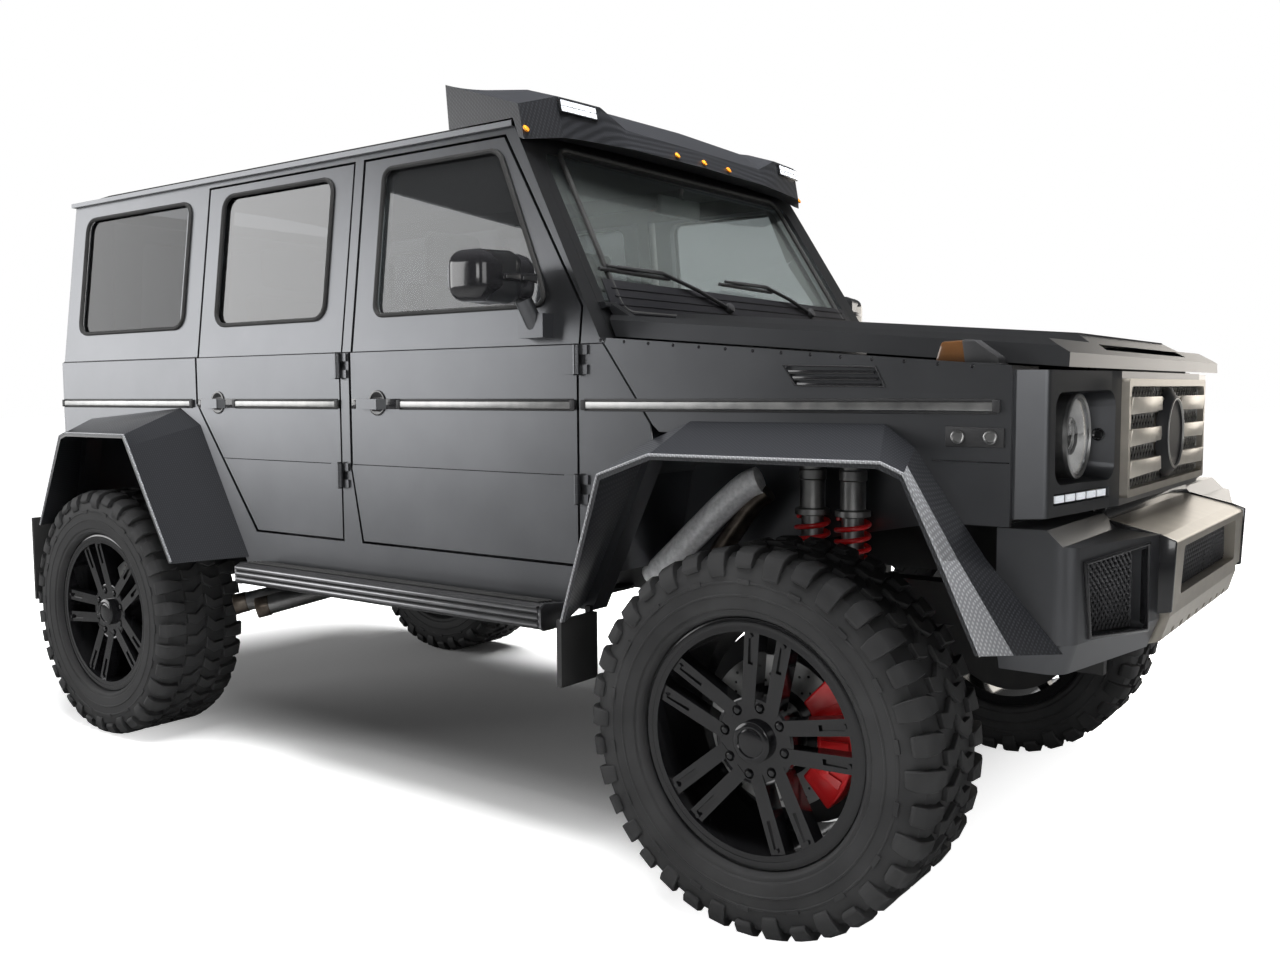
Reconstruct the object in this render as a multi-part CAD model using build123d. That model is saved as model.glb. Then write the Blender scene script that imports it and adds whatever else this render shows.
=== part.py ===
from build123d import *

import os
from math import hypot, radians, tan

# Lifted off-road estate: a boxy five-door body on a ladder frame with portal axles.
# Lengths are millimetres. While the pieces are made, x runs forward from the middle of the wheelbase,
# y to the left and z up from the ground. move_to_origin then shifts x so that the origin lies on the
# ground under the middle of the overall length. The left side is modelled and mirrored for the right.

# Clearances
SEAT = 0.3
DOOR_GAP = 8.0
DOOR_SKIN = 20.0
DOOR_REBATE = 14.0
SCREEN_CLEAR = 12.0

# Driving dimensions
WHEELBASE = 2850.0
TYRE_R = 466.0
TYRE_W = 330.0
RIM_SEAT_R = 279.4
RIM_W = 268.0
PORTAL_RISE = 115.0
BODY_Y = 878.0
RAIL_Y = 430.0
RAIL_W = 72.0
RAIL_H = 109.0
CABIN_H = 726.0
MIRROR_REACH = 248.0

# Stations along x
FRONT_X = WHEELBASE / 2
REAR_X = -WHEELBASE / 2
DOOR_FRONT_X = FRONT_X - 614
DOOR_MID_X = -134.0
PILLAR_B_X = DOOR_MID_X - 39
DOOR_REAR_X = REAR_X + 451
BODY_REAR_X = REAR_X - TYRE_R - 15
REAR_END_X = BODY_REAR_X - 109
SCREEN_LOW_X = DOOR_FRONT_X + 61
SCREEN_TOP_X = DOOR_FRONT_X - 299
A_POST_X = DOOR_FRONT_X - 331
WING_FRONT_X = FRONT_X + 561
NOSE_X = FRONT_X + 679
NOSE_SIDE_X = NOSE_X - 68
BULL_BAR_X = NOSE_X + 122
HOOD_REAR_X = DOOR_FRONT_X + 15
HOOD_FRONT_X = NOSE_X - 22

# Heights
HUB_Z = TYRE_R
AXLE_Z = HUB_Z + PORTAL_RISE
RAIL_LOW_Z = AXLE_Z + 109
RAIL_TOP_Z = RAIL_LOW_Z + RAIL_H
SILL_Z = RAIL_LOW_Z + 10
FLOOR_Z = RAIL_TOP_Z + 1
FLOOR_T = 25.0
DOOR_BOTTOM_Z = FLOOR_Z + 15
CREASE_Z = FLOOR_Z + 266
ARCH_TOP_Z = HUB_Z + 724
TRIM_Z = FLOOR_Z + 458
BELT_Z = FLOOR_Z + 624
ROOF_Z = BELT_Z + CABIN_H
DRIP_Z = ROOF_Z - 98
DOOR_TOP_Z = DRIP_Z - 18
WINDOW_LOW_Z = BELT_Z + 110
WINDOW_TOP_Z = DRIP_Z - 60
SCREEN_LOW_Z = BELT_Z + 16
A_POST_KNEE_Z = BELT_Z + 101
HOOD_REAR_Z = BELT_Z + 23
HOOD_FRONT_Z = BELT_Z - 83
NOSE_LOW_Z = BELT_Z - 406
BUMPER_TOP_Z = NOSE_LOW_Z - 18
BUMPER_LOW_Z = BUMPER_TOP_Z - 310

# Half widths
WHEEL_Y = BODY_Y - 3
BELT_STEP = 10.0
WALL_T = 66.0
PILLAR_T = 52.0
INNER_Y = BODY_Y - WALL_T
CANT_Y = BODY_Y - 86
SHOULDER_Y = CANT_Y - 152
HOOD_LIP_Y = BODY_Y - 72
FLARE_Y = BODY_Y + 172
GRILLE_Y = RAIL_Y - 2
BULL_BAR_Y = RAIL_Y + 16
KINGPIN_Y = WHEEL_Y - 185
APRON_Y = INNER_Y - 292
STRUT_Y = WHEEL_Y - 285
REAR_STRUT_Y = WHEEL_Y - 247
SEAT_Y = INNER_Y - 432

# Hinges
HINGE_Y = BODY_Y + 12.0
HINGE_R = 9.0
HINGE_H = 78.0
KNUCKLE_H = 27.0
HINGE_Z = (CREASE_Z - 36, BELT_Z - 44)
DOOR_HINGE_FRONT_X = DOOR_FRONT_X
DOOR_HINGE_REAR_X = PILLAR_B_X
TAIL_HINGE_X = BODY_REAR_X - 38
TAIL_HINGE_Y = INNER_Y - 122
TAIL_HINGE_ZS = (FLOOR_Z + 160, BELT_Z + 136)
HOOD_HINGE_X = DOOR_FRONT_X + 20
HOOD_HINGE_Z = BELT_Z + 106
HOOD_HINGE_Y = HOOD_LIP_Y - 36

# Recovery eyes and tow jaw
EYE_R = 18.0
EYE_T = 25.0
RECOVERY_EYE = (WING_FRONT_X + 54, RAIL_Y + 23.5, RAIL_LOW_Z - 38)
TOW_PIN = (REAR_END_X + 10, RAIL_LOW_Z - 80)
TOW_PIN_R = 16.0
TOW_EAR_T = 20.0
TOW_EAR_SPAN = 80.0

PARTS = {}


# Drawing helpers


def outline(points, radius=0.0):
    """Face inside straight lines; radius rounds every corner, or those in a table by corner number."""
    face = make_face(Polyline(*points, close=True))
    if isinstance(radius, dict):
        for place, size in radius.items():
            corner = face.vertices().sort_by_distance(Vector(*points[place], 0))[0]
            face = fillet(corner, size)
    elif radius:
        face = fillet(face.vertices(), radius)
    return face


def xz(points, y_low, y_high, radius=0.0):
    """Prism with an outline of (x, z) points, from y_low to y_high."""
    plane = Plane(origin=(0, y_high, 0), x_dir=(1, 0, 0), z_dir=(0, -1, 0))
    return extrude(plane * outline(points, radius), amount=y_high - y_low)


def yz(points, x_low, x_high, radius=0.0):
    """Prism with an outline of (y, z) points, from x_low to x_high."""
    plane = Plane(origin=(x_low, 0, 0), x_dir=(0, 1, 0), z_dir=(1, 0, 0))
    return extrude(plane * outline(points, radius), amount=x_high - x_low)


def xy(points, z_low, z_high, radius=0.0):
    """Prism with an outline of (x, y) points, from z_low to z_high."""
    return extrude(Pos(0, 0, z_low) * outline(points, radius), amount=z_high - z_low)


def section_at(x, points, radius=0.0):
    """Face of (y, z) points standing across the vehicle at x."""
    return Plane(origin=(x, 0, 0), x_dir=(0, 1, 0), z_dir=(1, 0, 0)) * outline(points, radius)


def outline_at(y, points, radius=0.0):
    """Face of (x, z) points standing along the vehicle at y."""
    return Plane(origin=(0, y, 0), x_dir=(1, 0, 0), z_dir=(0, -1, 0)) * outline(points, radius)


def block(x0, x1, y0, y1, z0, z1):
    """Box between two corners."""
    return Pos((x0 + x1) / 2, (y0 + y1) / 2, (z0 + z1) / 2) * Box(x1 - x0, y1 - y0, z1 - z0)


def rod(start, end, radius):
    """Round bar from start to end."""
    a, b = Vector(*start), Vector(*end)
    return extrude(Plane(origin=a, z_dir=(b - a)) * Circle(radius), amount=(b - a).length)


def drum(x, y_low, y_high, z, radius):
    """Cylinder along y."""
    return Pos(x, (y_low + y_high) / 2, z) * Rot(90, 0, 0) * Cylinder(radius, y_high - y_low)


def around(wheel_x, points):
    """Offsets (x, z) from a wheel's centre as points of the vehicle."""
    return [(wheel_x + x, HUB_Z + z) for x, z in points]


def toward(points, centre_x, amount):
    """Outline drawn toward (or, with a negative amount, away from) the wheel's centre."""
    moved = []
    for x, z in points:
        dx, dz = centre_x - x, HUB_Z - z
        length = hypot(dx, dz)
        moved.append((x + dx * amount / length, z + dz * amount / length))
    return moved


def hinge_post(x, y, z):
    """Upper and lower knuckles of a hinge with an upright pin."""
    height = (HINGE_H - KNUCKLE_H) / 2 - SEAT
    middle = (KNUCKLE_H + height) / 2 + SEAT
    barrel = Cylinder(HINGE_R, height)
    return Pos(x, y, z + middle) * barrel + Pos(x, y, z - middle) * barrel


def mirrored(shape):
    """Left-hand piece turned into its right-hand twin."""
    return mirror(shape, about=Plane.XZ)


def pair(shape):
    """Left-hand piece and its right-hand twin in one node."""
    return Compound([*shape.solids(), *mirrored(shape).solids()])


# Side walls

FRONT_WINDOW = [
    (DOOR_MID_X + 104, WINDOW_LOW_Z),
    (DOOR_FRONT_X - 135, WINDOW_LOW_Z),
    (DOOR_FRONT_X - 156, WINDOW_LOW_Z + 66),
    (DOOR_FRONT_X - 353, WINDOW_TOP_Z),
    (DOOR_MID_X + 104, WINDOW_TOP_Z),
]
WINDOW_CORNER = 42.0
REAR_ARCH = [(770, 174), (413, 724), (-297, 724), (-425, 174)]
WALL_OUT_Y = BODY_Y + 122
WALL_IN_Y = INNER_Y - 212


def square_window(x_rear, x_front):
    """Outline of an upright window between two stations."""
    return [(x_rear, WINDOW_LOW_Z), (x_front, WINDOW_LOW_Z), (x_front, WINDOW_TOP_Z),
            (x_rear, WINDOW_TOP_Z)]


REAR_WINDOW = square_window(DOOR_REAR_X + 101, PILLAR_B_X - 102)
QUARTER_WINDOW = square_window(BODY_REAR_X + 91, DOOR_REAR_X - 126)


def wall_slab(skin_in, thickness_low, thickness_top):
    """Left wall as one long slab, its skin set in by skin_in, to be cut into panels."""
    inner_low = BODY_Y - BELT_STEP - skin_in - thickness_low
    outer = [(BODY_Y - skin_in, SILL_Z), (BODY_Y - skin_in, BELT_Z - 4)]
    outer += [(BODY_Y - BELT_STEP - skin_in, BELT_Z), (CANT_Y - skin_in, DRIP_Z)]
    inner = [(CANT_Y - skin_in - thickness_top, DRIP_Z), (inner_low, BELT_Z - 4), (inner_low, SILL_Z)]
    return yz(outer + inner, BODY_REAR_X, SCREEN_LOW_X + 250)


def front_door_outline(inset):
    """Front door seen from the side, shrunk by inset on every edge."""
    i = inset
    return [
        (DOOR_FRONT_X - i, DOOR_BOTTOM_Z + i),
        (DOOR_FRONT_X - i, A_POST_KNEE_Z - 0.3 * i),
        (A_POST_X - 0.8 * i, DOOR_TOP_Z - i),
        (DOOR_MID_X + 1.4 * i, DOOR_TOP_Z - i),
        (DOOR_MID_X + 1.4 * i, CREASE_Z),
        (DOOR_MID_X + i, CREASE_Z - 10),
        (DOOR_MID_X + 48 + i, DOOR_BOTTOM_Z + i),
    ]


def rear_door_outline(inset):
    """Rear door seen from the side, its lower rear corner cut away for the wheel arch."""
    i = inset
    return [
        (PILLAR_B_X - i, DOOR_BOTTOM_Z + i),
        (PILLAR_B_X - i, DOOR_TOP_Z - i),
        (DOOR_REAR_X + 1.4 * i, DOOR_TOP_Z - i),
        (DOOR_REAR_X + 1.4 * i, TRIM_Z),
        (DOOR_REAR_X + 336 + 1.2 * i, DOOR_BOTTOM_Z + i),
    ]


def opening(points, grow=0.0):
    """Rounded window hole through a wall, or with a negative grow the pane that fits it."""
    face = outline(points, WINDOW_CORNER)
    if grow:
        face = offset(face, amount=grow)
    plane = Plane(origin=(0, BODY_Y + 40, 0), x_dir=(1, 0, 0), z_dir=(0, -1, 0))
    return extrude(plane * face, amount=300)


def body_side():
    """Left body side: posts, sill, quarter panel and roof rail around two door holes and a window."""
    shape = [
        (FRONT_X - 575, SILL_Z),
        (FRONT_X - 363, ARCH_TOP_Z - 40),
        (FRONT_X - 378, ARCH_TOP_Z + 17),
        (FRONT_X - 533, BELT_Z),
        (SCREEN_LOW_X, SCREEN_LOW_Z),
        (SCREEN_TOP_X, DRIP_Z),
        (BODY_REAR_X, DRIP_Z),
        (BODY_REAR_X, SILL_Z),
    ]
    side = wall_slab(0, WALL_T - BELT_STEP, PILLAR_T) & xz(shape, WALL_IN_Y, WALL_OUT_Y)
    for hole in (front_door_outline(0), rear_door_outline(0), around(REAR_X, REAR_ARCH)):
        side -= xz(hole, WALL_IN_Y, WALL_OUT_Y)
    side -= opening(QUARTER_WINDOW)
    for x in (DOOR_HINGE_FRONT_X, DOOR_HINGE_REAR_X):
        for z in HINGE_Z:
            side += hinge_post(x, HINGE_Y, z)
            side += block(x, x + 33, BODY_Y - 1, BODY_Y + 6, z + KNUCKLE_H / 2 + SEAT, z + HINGE_H / 2)
            side += block(x, x + 33, BODY_Y - 1, BODY_Y + 6, z - HINGE_H / 2, z - KNUCKLE_H / 2 - SEAT)
    return side


def door_handle(rear):
    """Bow handle on the trim line, with its push button at the front end."""
    grip = [(rear + 42, BODY_Y - 1), (rear + 50, BODY_Y + 24), (rear + 150, BODY_Y + 24),
            (rear + 172, BODY_Y - 1)]
    hollow = [(rear + 62, BODY_Y - 2), (rear + 66, BODY_Y + 14), (rear + 124, BODY_Y + 14),
              (rear + 134, BODY_Y - 2)]
    bow = xy(grip, TRIM_Z - 16, TRIM_Z + 16, {1: 8, 2: 8}) - xy(hollow, TRIM_Z - 20, TRIM_Z + 20)
    return bow & block(rear, rear + 200, BODY_Y - 1, BODY_Y + 30, TRIM_Z - 16, TRIM_Z + 16)


def door(shape, window):
    """Door leaf as thick as the wall: an outer skin, and an inner box set in so that it swings clear."""
    leaf = wall_slab(0, DOOR_SKIN, DOOR_SKIN) & xz(shape(DOOR_GAP), WALL_IN_Y, WALL_OUT_Y)
    box_t = WALL_T - BELT_STEP - DOOR_SKIN - 6
    box = wall_slab(DOOR_SKIN - 2, box_t, PILLAR_T - DOOR_SKIN - 6)
    leaf += box & xz(shape(DOOR_GAP + DOOR_REBATE), WALL_IN_Y, WALL_OUT_Y)
    leaf -= opening(window)
    hinge_x = max(x for x, z in shape(0))
    for z in HINGE_Z:
        leaf += block(hinge_x - 50, hinge_x - 15, BODY_Y - 1, BODY_Y + 6, z - HINGE_H / 2, z + HINGE_H / 2)
        leaf += block(hinge_x - 16, hinge_x, BODY_Y + 1, BODY_Y + 8, z - KNUCKLE_H / 2, z + KNUCKLE_H / 2)
        leaf += Pos(hinge_x, HINGE_Y, z) * Cylinder(HINGE_R, KNUCKLE_H)
    rear = min(x for x, z in shape(DOOR_GAP))
    return leaf + door_handle(rear)


MIRROR_X = DOOR_FRONT_X - 147
MIRROR_SECTIONS = [
    # y from the body side; rear and front x from MIRROR_X; low and high z from the belt
    (24, -78, 10, 138, 224),
    (122, -102, 36, 106, 246),
    (MIRROR_REACH - 34, -104, 26, 110, 242),
    (MIRROR_REACH, -92, 2, 130, 222),
]


def mirror_housing():
    """Left door mirror: foot on the door's belt, arm and rounded housing."""
    foot = block(MIRROR_X - 46, MIRROR_X + 44, BODY_Y - 32, BODY_Y + 28, BELT_Z + 18, BELT_Z + 84)
    arm = rod((MIRROR_X, BODY_Y + 8, BELT_Z + 52), (MIRROR_X - 14, BODY_Y + 72, BELT_Z + 166), 24)
    sections = []
    for y, rear, front, low, high in MIRROR_SECTIONS:
        x0, x1, z0, z1 = MIRROR_X + rear, MIRROR_X + front, BELT_Z + low, BELT_Z + high
        sections.append(outline_at(BODY_Y + y, [(x0, z0), (x1, z0), (x1, z1), (x0, z1)], 32))
    return foot + arm + loft(sections, ruled=True)


def pane(window):
    """Pane of glass 5 mm thick, set 8 mm behind the skin in its hole."""
    return wall_slab(8, 5, 5) & opening(window, -SEAT)


def side_walls():
    """Body sides, doors and their glass."""
    left = body_side()
    PARTS["body_side_left"] = left
    PARTS["body_side_right"] = mirrored(left)
    rows = (("front", front_door_outline, FRONT_WINDOW), ("rear", rear_door_outline, REAR_WINDOW))
    for place, shape, window in rows:
        leaf, glass = door(shape, window), pane(window)
        if place == "front":
            leaf += mirror_housing()
        PARTS[f"door_{place}_left"] = leaf
        PARTS[f"door_{place}_right"] = mirrored(leaf)
        PARTS[f"door_glass_{place}_left"] = glass
        PARTS[f"door_glass_{place}_right"] = mirrored(glass)


# Roof, floor, screen and tail

FRAME_Y = INNER_Y - SEAT
FRAME_TOP_Y = CANT_Y - PILLAR_T - SEAT
TAIL_T = 60.0
TAILGATE_Y = TAIL_HINGE_Y
TAILGATE_LOW_Z = FLOOR_Z + 50
TAILGATE_TOP_Z = DRIP_Z - 42
TAIL_WINDOW = [(-560, BELT_Z + 76), (560, BELT_Z + 76), (530, DRIP_Z - 112), (-530, DRIP_Z - 112)]
SCREEN_HOLE = [
    (-FRAME_Y + 45, SCREEN_LOW_Z + 62),
    (FRAME_Y - 45, SCREEN_LOW_Z + 62),
    (FRAME_TOP_Y - 28, DRIP_Z - 62),
    (-FRAME_TOP_Y + 28, DRIP_Z - 62),
]


def roof_arch(drop):
    """Cross-section of the roof, with drip rails, or drop millimetres under it the hollow below."""
    side = [(CANT_Y + 14, DRIP_Z + SEAT), (CANT_Y + 14, DRIP_Z + 16), (CANT_Y - 22, DRIP_Z + 18)]
    if drop:
        side = [(CANT_Y - PILLAR_T, DRIP_Z + SEAT)]
    shoulder = (SHOULDER_Y - drop, ROOF_Z - 26 - drop)
    left = Polyline(*side, shoulder)
    over = ThreePointArc(shoulder, (0.0, ROOF_Z - drop), (-shoulder[0], shoulder[1]))
    right = Polyline((-shoulder[0], shoulder[1]), *[(-y, z) for y, z in reversed(side)])
    base = Line((-side[0][0], side[0][1]), side[0])
    return make_face([left, over, right, base])


def roof():
    """Crowned roof skin with a drip rail on each side and a header over the screen."""
    plane = Plane(origin=(BODY_REAR_X - 12, 0, 0), x_dir=(0, 1, 0), z_dir=(1, 0, 0))
    length = SCREEN_TOP_X - BODY_REAR_X + 12
    shell = extrude(plane * roof_arch(0), amount=length) - extrude(plane * roof_arch(24.0), amount=length)
    low, high = CANT_Y - PILLAR_T - 2, SHOULDER_Y - 40
    header = [(-low, DRIP_Z + SEAT), (low, DRIP_Z + SEAT), (high, ROOF_Z - 46), (-high, ROOF_Z - 46)]
    return shell + yz(header, SCREEN_TOP_X - 60, SCREEN_TOP_X)


def screen_frame():
    """Cowl and slanting screen frame between the front posts, with the bulkhead under it."""
    foot, back = SCREEN_LOW_Z - 40, SCREEN_LOW_X - 62
    slant = [(SCREEN_LOW_X, foot), (SCREEN_LOW_X, SCREEN_LOW_Z), (SCREEN_TOP_X, DRIP_Z)]
    slant += [(SCREEN_TOP_X - 60, DRIP_Z), (back, SCREEN_LOW_Z), (back, foot)]
    frame = xz(slant, -FRAME_Y, FRAME_Y)
    x0, x1 = SCREEN_TOP_X - 212, SCREEN_LOW_X + 128
    trapezium = [(-FRAME_Y, SCREEN_LOW_Z - 30), (FRAME_Y, SCREEN_LOW_Z - 30), (FRAME_TOP_Y, DRIP_Z),
                 (-FRAME_TOP_Y, DRIP_Z)]
    frame &= yz(trapezium, x0, x1)
    frame -= yz(SCREEN_HOLE, x0, x1, 40)
    frame += block(back, back + 32, -FRAME_Y, FRAME_Y, FLOOR_Z + FLOOR_T + SEAT, SCREEN_LOW_Z - 32)
    for side in (1, -1):
        a, b = sorted((side * (HOOD_HINGE_Y + SEAT), side * (HOOD_HINGE_Y + 25)))
        frame += rod((HOOD_HINGE_X, a, HOOD_HINGE_Z), (HOOD_HINGE_X, b, HOOD_HINGE_Z), HINGE_R)
        frame += block(HOOD_HINGE_X - 22, HOOD_HINGE_X, a, b, HOOD_HINGE_Z - HINGE_R,
                       HOOD_HINGE_Z + HINGE_R)
    return frame


def windscreen():
    """Laminated pane in the screen frame's hole."""
    slant = [(SCREEN_LOW_X - 14, SCREEN_LOW_Z), (SCREEN_TOP_X - 14, DRIP_Z)]
    slant += [(SCREEN_TOP_X - 22, DRIP_Z), (SCREEN_LOW_X - 22, SCREEN_LOW_Z)]
    face = offset(outline(SCREEN_HOLE, 40), amount=-SEAT)
    plane = Plane(origin=(SCREEN_TOP_X - 212, 0, 0), x_dir=(0, 1, 0), z_dir=(1, 0, 0))
    return xz(slant, -FRAME_Y, FRAME_Y) & extrude(plane * face, amount=700)


def tail_frame():
    """Rear wall of the body around the tailgate hole."""
    shape = [(-FRAME_Y, FLOOR_Z), (FRAME_Y, FLOOR_Z), (FRAME_Y, BELT_Z - 20), (FRAME_TOP_Y, DRIP_Z)]
    shape += [(-FRAME_TOP_Y, DRIP_Z), (-FRAME_Y, BELT_Z - 20)]
    wall = yz(shape, BODY_REAR_X, BODY_REAR_X + TAIL_T)
    y, top, knee = TAILGATE_Y, TAILGATE_Y - 22, BELT_Z + 26
    hole = [(-y, TAILGATE_LOW_Z), (y, TAILGATE_LOW_Z), (y, knee), (top, TAILGATE_TOP_Z),
            (-top, TAILGATE_TOP_Z), (-y, knee)]
    wall -= yz(hole, BODY_REAR_X - 10, BODY_REAR_X + TAIL_T + 10)
    for z in TAIL_HINGE_ZS:
        wall += hinge_post(TAIL_HINGE_X, -TAIL_HINGE_Y, z)
        lower = (z - HINGE_H / 2, z - KNUCKLE_H / 2 - SEAT)
        upper = (z + KNUCKLE_H / 2 + SEAT, z + HINGE_H / 2)
        for low, high in (lower, upper):
            wall += block(TAIL_HINGE_X - HINGE_R, BODY_REAR_X + 1, -TAIL_HINGE_Y - 40, -TAIL_HINGE_Y - 5,
                          low, high)
    return wall


def tailgate():
    """Side-hung rear door with its window hole, as thick as the rear wall."""
    g = DOOR_GAP
    y, top, knee = TAILGATE_Y - 1.4 * g, TAILGATE_Y - 22 - 1.4 * g, BELT_Z + 26
    low_z, top_z = TAILGATE_LOW_Z + g, TAILGATE_TOP_Z - g
    skin = BODY_REAR_X - 26
    leaf = yz([(-y, low_z), (y, low_z), (y, knee), (top, top_z), (-top, top_z), (-y, knee)], skin,
              BODY_REAR_X + TAIL_T - 14)
    bevel = [(BODY_REAR_X, y + 1), (BODY_REAR_X + TAIL_T, y - 7), (BODY_REAR_X + TAIL_T, y + 1)]
    leaf -= xy(bevel, SILL_Z, DRIP_Z)
    leaf -= yz(TAIL_WINDOW, skin - 34, BODY_REAR_X + TAIL_T + 30, 45)
    for z in TAIL_HINGE_ZS:
        leaf += block(skin - 8, skin + 1, -TAIL_HINGE_Y + 16, -TAIL_HINGE_Y + 60, z - HINGE_H / 2,
                      z + HINGE_H / 2)
        leaf += block(TAIL_HINGE_X - 4, skin, -TAIL_HINGE_Y, -TAIL_HINGE_Y + 18, z - KNUCKLE_H / 2,
                      z + KNUCKLE_H / 2)
        leaf += Pos(TAIL_HINGE_X, -TAIL_HINGE_Y, z) * Cylinder(HINGE_R, KNUCKLE_H)
    leaf += block(skin - 24, skin + 1, y - 159, y - 39, TRIM_Z - 28, TRIM_Z + 12)
    return leaf - block(skin - 1, skin + 6, -265, 265, FLOOR_Z + 210, FLOOR_Z + 330)


def tail_pane():
    """Pane in the tailgate's hole."""
    face = offset(outline(TAIL_WINDOW, 45), amount=-SEAT)
    plane = Plane(origin=(BODY_REAR_X - 14, 0, 0), x_dir=(0, 1, 0), z_dir=(1, 0, 0))
    return extrude(plane * face, amount=5)


WHEELHOUSE_X = 380.0
WHEELHOUSE_T = 12.0
WHEELHOUSE_Y = INNER_Y - 252
WHEELHOUSE_TOP_Z = HUB_Z + 664


def floor_pan():
    """Cabin floor with a wheelhouse box over each rear wheel."""
    floor = block(BODY_REAR_X + TAIL_T + SEAT, SCREEN_LOW_X - 30, -FRAME_Y, FRAME_Y, FLOOR_Z,
                  FLOOR_Z + FLOOR_T)
    x, y, t = WHEELHOUSE_X, WHEELHOUSE_Y, WHEELHOUSE_T
    house = block(REAR_X - x, REAR_X + x, y, FRAME_Y, FLOOR_Z, WHEELHOUSE_TOP_Z)
    hollow = block(REAR_X - x + t, REAR_X + x - t, y + t, FRAME_Y + 10, FLOOR_Z - 10, WHEELHOUSE_TOP_Z - t)
    return floor + house + mirrored(house) - hollow - mirrored(hollow)


def cabin_shell():
    """Roof, floor, screen, tail wall and fixed glass."""
    PARTS["roof_panel"] = roof()
    PARTS["screen_frame"] = screen_frame()
    PARTS["tail_frame"] = tail_frame()
    PARTS["tailgate"] = tailgate()
    PARTS["tailgate_glass"] = tail_pane()
    PARTS["fixed_glass"] = Compound([*windscreen().solids(), *pair(pane(QUARTER_WINDOW)).solids()])
    PARTS["floor_pan"] = floor_pan()


# Front end

HOOD_WALL_H = 58.0
HOOD_T = 22.0
HOOD_BULGE_H = 22.0
LINER_T = 6.0
LINER = [(-533, 340), (-485, 604), (-345, 730), (315, 730), (425, 634), (543, 546)]
LAMP_Y = BODY_Y - 250
LAMP_Z = NOSE_LOW_Z + 170
LAMP_R = 90.0


def hood_section(lip_z, drop, wall_in):
    """Cross-section of the hood with its raised centre, drop millimetres lower and wall_in narrower."""
    lip, bulge, top = HOOD_LIP_Y - wall_in, GRILLE_Y + 42 - wall_in, lip_z + HOOD_WALL_H - drop
    left = [(lip, lip_z), (lip - 8, top - 14), (lip - 26, top), (bulge, top),
            (bulge - 34, top + HOOD_BULGE_H)]
    return left + [(-y, z) for y, z in reversed(left)]


def hood():
    """Hood with upright sides and a raised centre, thinned from below."""
    t = HOOD_T
    outer = loft([section_at(HOOD_REAR_X, hood_section(HOOD_REAR_Z, 0, 0)),
                  section_at(HOOD_FRONT_X, hood_section(HOOD_FRONT_Z, 0, 0))], ruled=True)
    inner = loft([section_at(HOOD_REAR_X + t, hood_section(HOOD_REAR_Z - 1, t, t)),
                  section_at(HOOD_FRONT_X - t, hood_section(HOOD_FRONT_Z - 1, t, t))], ruled=True)
    tip = HOOD_FRONT_X + 1
    nose_cut = [(tip - 91, HOOD_FRONT_Z + 86), (tip, HOOD_FRONT_Z + 30), (tip, HOOD_FRONT_Z + 120)]
    slope = (SCREEN_LOW_X - SCREEN_TOP_X) / (DRIP_Z - SCREEN_LOW_Z)
    tail, low, high = SCREEN_LOW_X + SCREEN_CLEAR, SCREEN_LOW_Z - 10, SCREEN_LOW_Z + 120
    rear = HOOD_REAR_X - 126
    screen_cut = [(rear, low), (tail + 10 * slope, low), (tail - 120 * slope, high), (rear, high)]
    shell = outer - inner - xz(nose_cut, -BODY_Y, BODY_Y) - xz(screen_cut, -BODY_Y, BODY_Y)
    x, z = HOOD_HINGE_X, HOOD_HINGE_Z
    for side in (1, -1):
        a, b = sorted((side * (HOOD_HINGE_Y - 30), side * HOOD_HINGE_Y))
        shell += rod((x, a, z), (x, b, z), HINGE_R)
        shell += xz([(x, z - HINGE_R), (x, z + HINGE_R), (x + 90, z - 42), (x + 40, z - 50)], a, b)
    return shell


def hood_lip_z(x):
    """Height of the hood's side edge at x."""
    return HOOD_REAR_Z + (HOOD_FRONT_Z - HOOD_REAR_Z) * (x - HOOD_REAR_X) / (HOOD_FRONT_X - HOOD_REAR_X)


def front_wing():
    """Left wing: flat outer skin with a vent recess, top ledge under the hood, wheel liner and apron."""
    x0, x1 = FRONT_X - 519, WING_FRONT_X
    z0, z1 = hood_lip_z(x0) - 5, hood_lip_z(x1) - 5
    shape = [(x0 - 6, BELT_Z - 4), (x0, z0), (x1, z1), (x1, NOSE_LOW_Z - 16),
             (FRONT_X + 459, NOSE_LOW_Z - 16)]
    shape += [(FRONT_X + 313, ARCH_TOP_Z), (FRONT_X - 349, ARCH_TOP_Z), (FRONT_X - 369, ARCH_TOP_Z + 17)]
    skin = xz(shape, BODY_Y - 14, BODY_Y)
    vent = [(FRONT_X + 13, BELT_Z - 70), (FRONT_X + 250, BELT_Z - 78), (FRONT_X + 274, BELT_Z - 123)]
    vent += [(FRONT_X + 46, BELT_Z - 117)]
    skin -= xz(vent, BODY_Y - 8, BODY_Y + 1, 8)
    ledge = xz([(x0, z0 - 14), (x0, z0), (x1, z1), (x1, z1 - 14)], HOOD_LIP_Y - 106, BODY_Y - 14)
    liner = around(FRONT_X, LINER)
    band = xz(liner + toward(liner, FRONT_X, LINER_T)[::-1], APRON_Y, FRAME_Y)
    apron = xz([(x, max(z, FLOOR_Z + 6)) for x, z in liner], APRON_Y, APRON_Y + LINER_T)
    bridge = block(FRONT_X - 333, FRONT_X + 311, INNER_Y - 2, BODY_Y - 13, ARCH_TOP_Z, ARCH_TOP_Z + LINER_T)
    return skin + ledge + band + apron + bridge


def nose_outline(y_inner):
    """Plan of one half of the nose, from the wing back to the grille."""
    back = WING_FRONT_X + SEAT
    plan = [(back, y_inner), (NOSE_X - 6, y_inner), (NOSE_X - 16, GRILLE_Y + 60),
            (NOSE_SIDE_X + 10, BODY_Y - 60)]
    return plan + [(back + 6, BODY_Y - 12), (back, BODY_Y - 12)]


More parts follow.
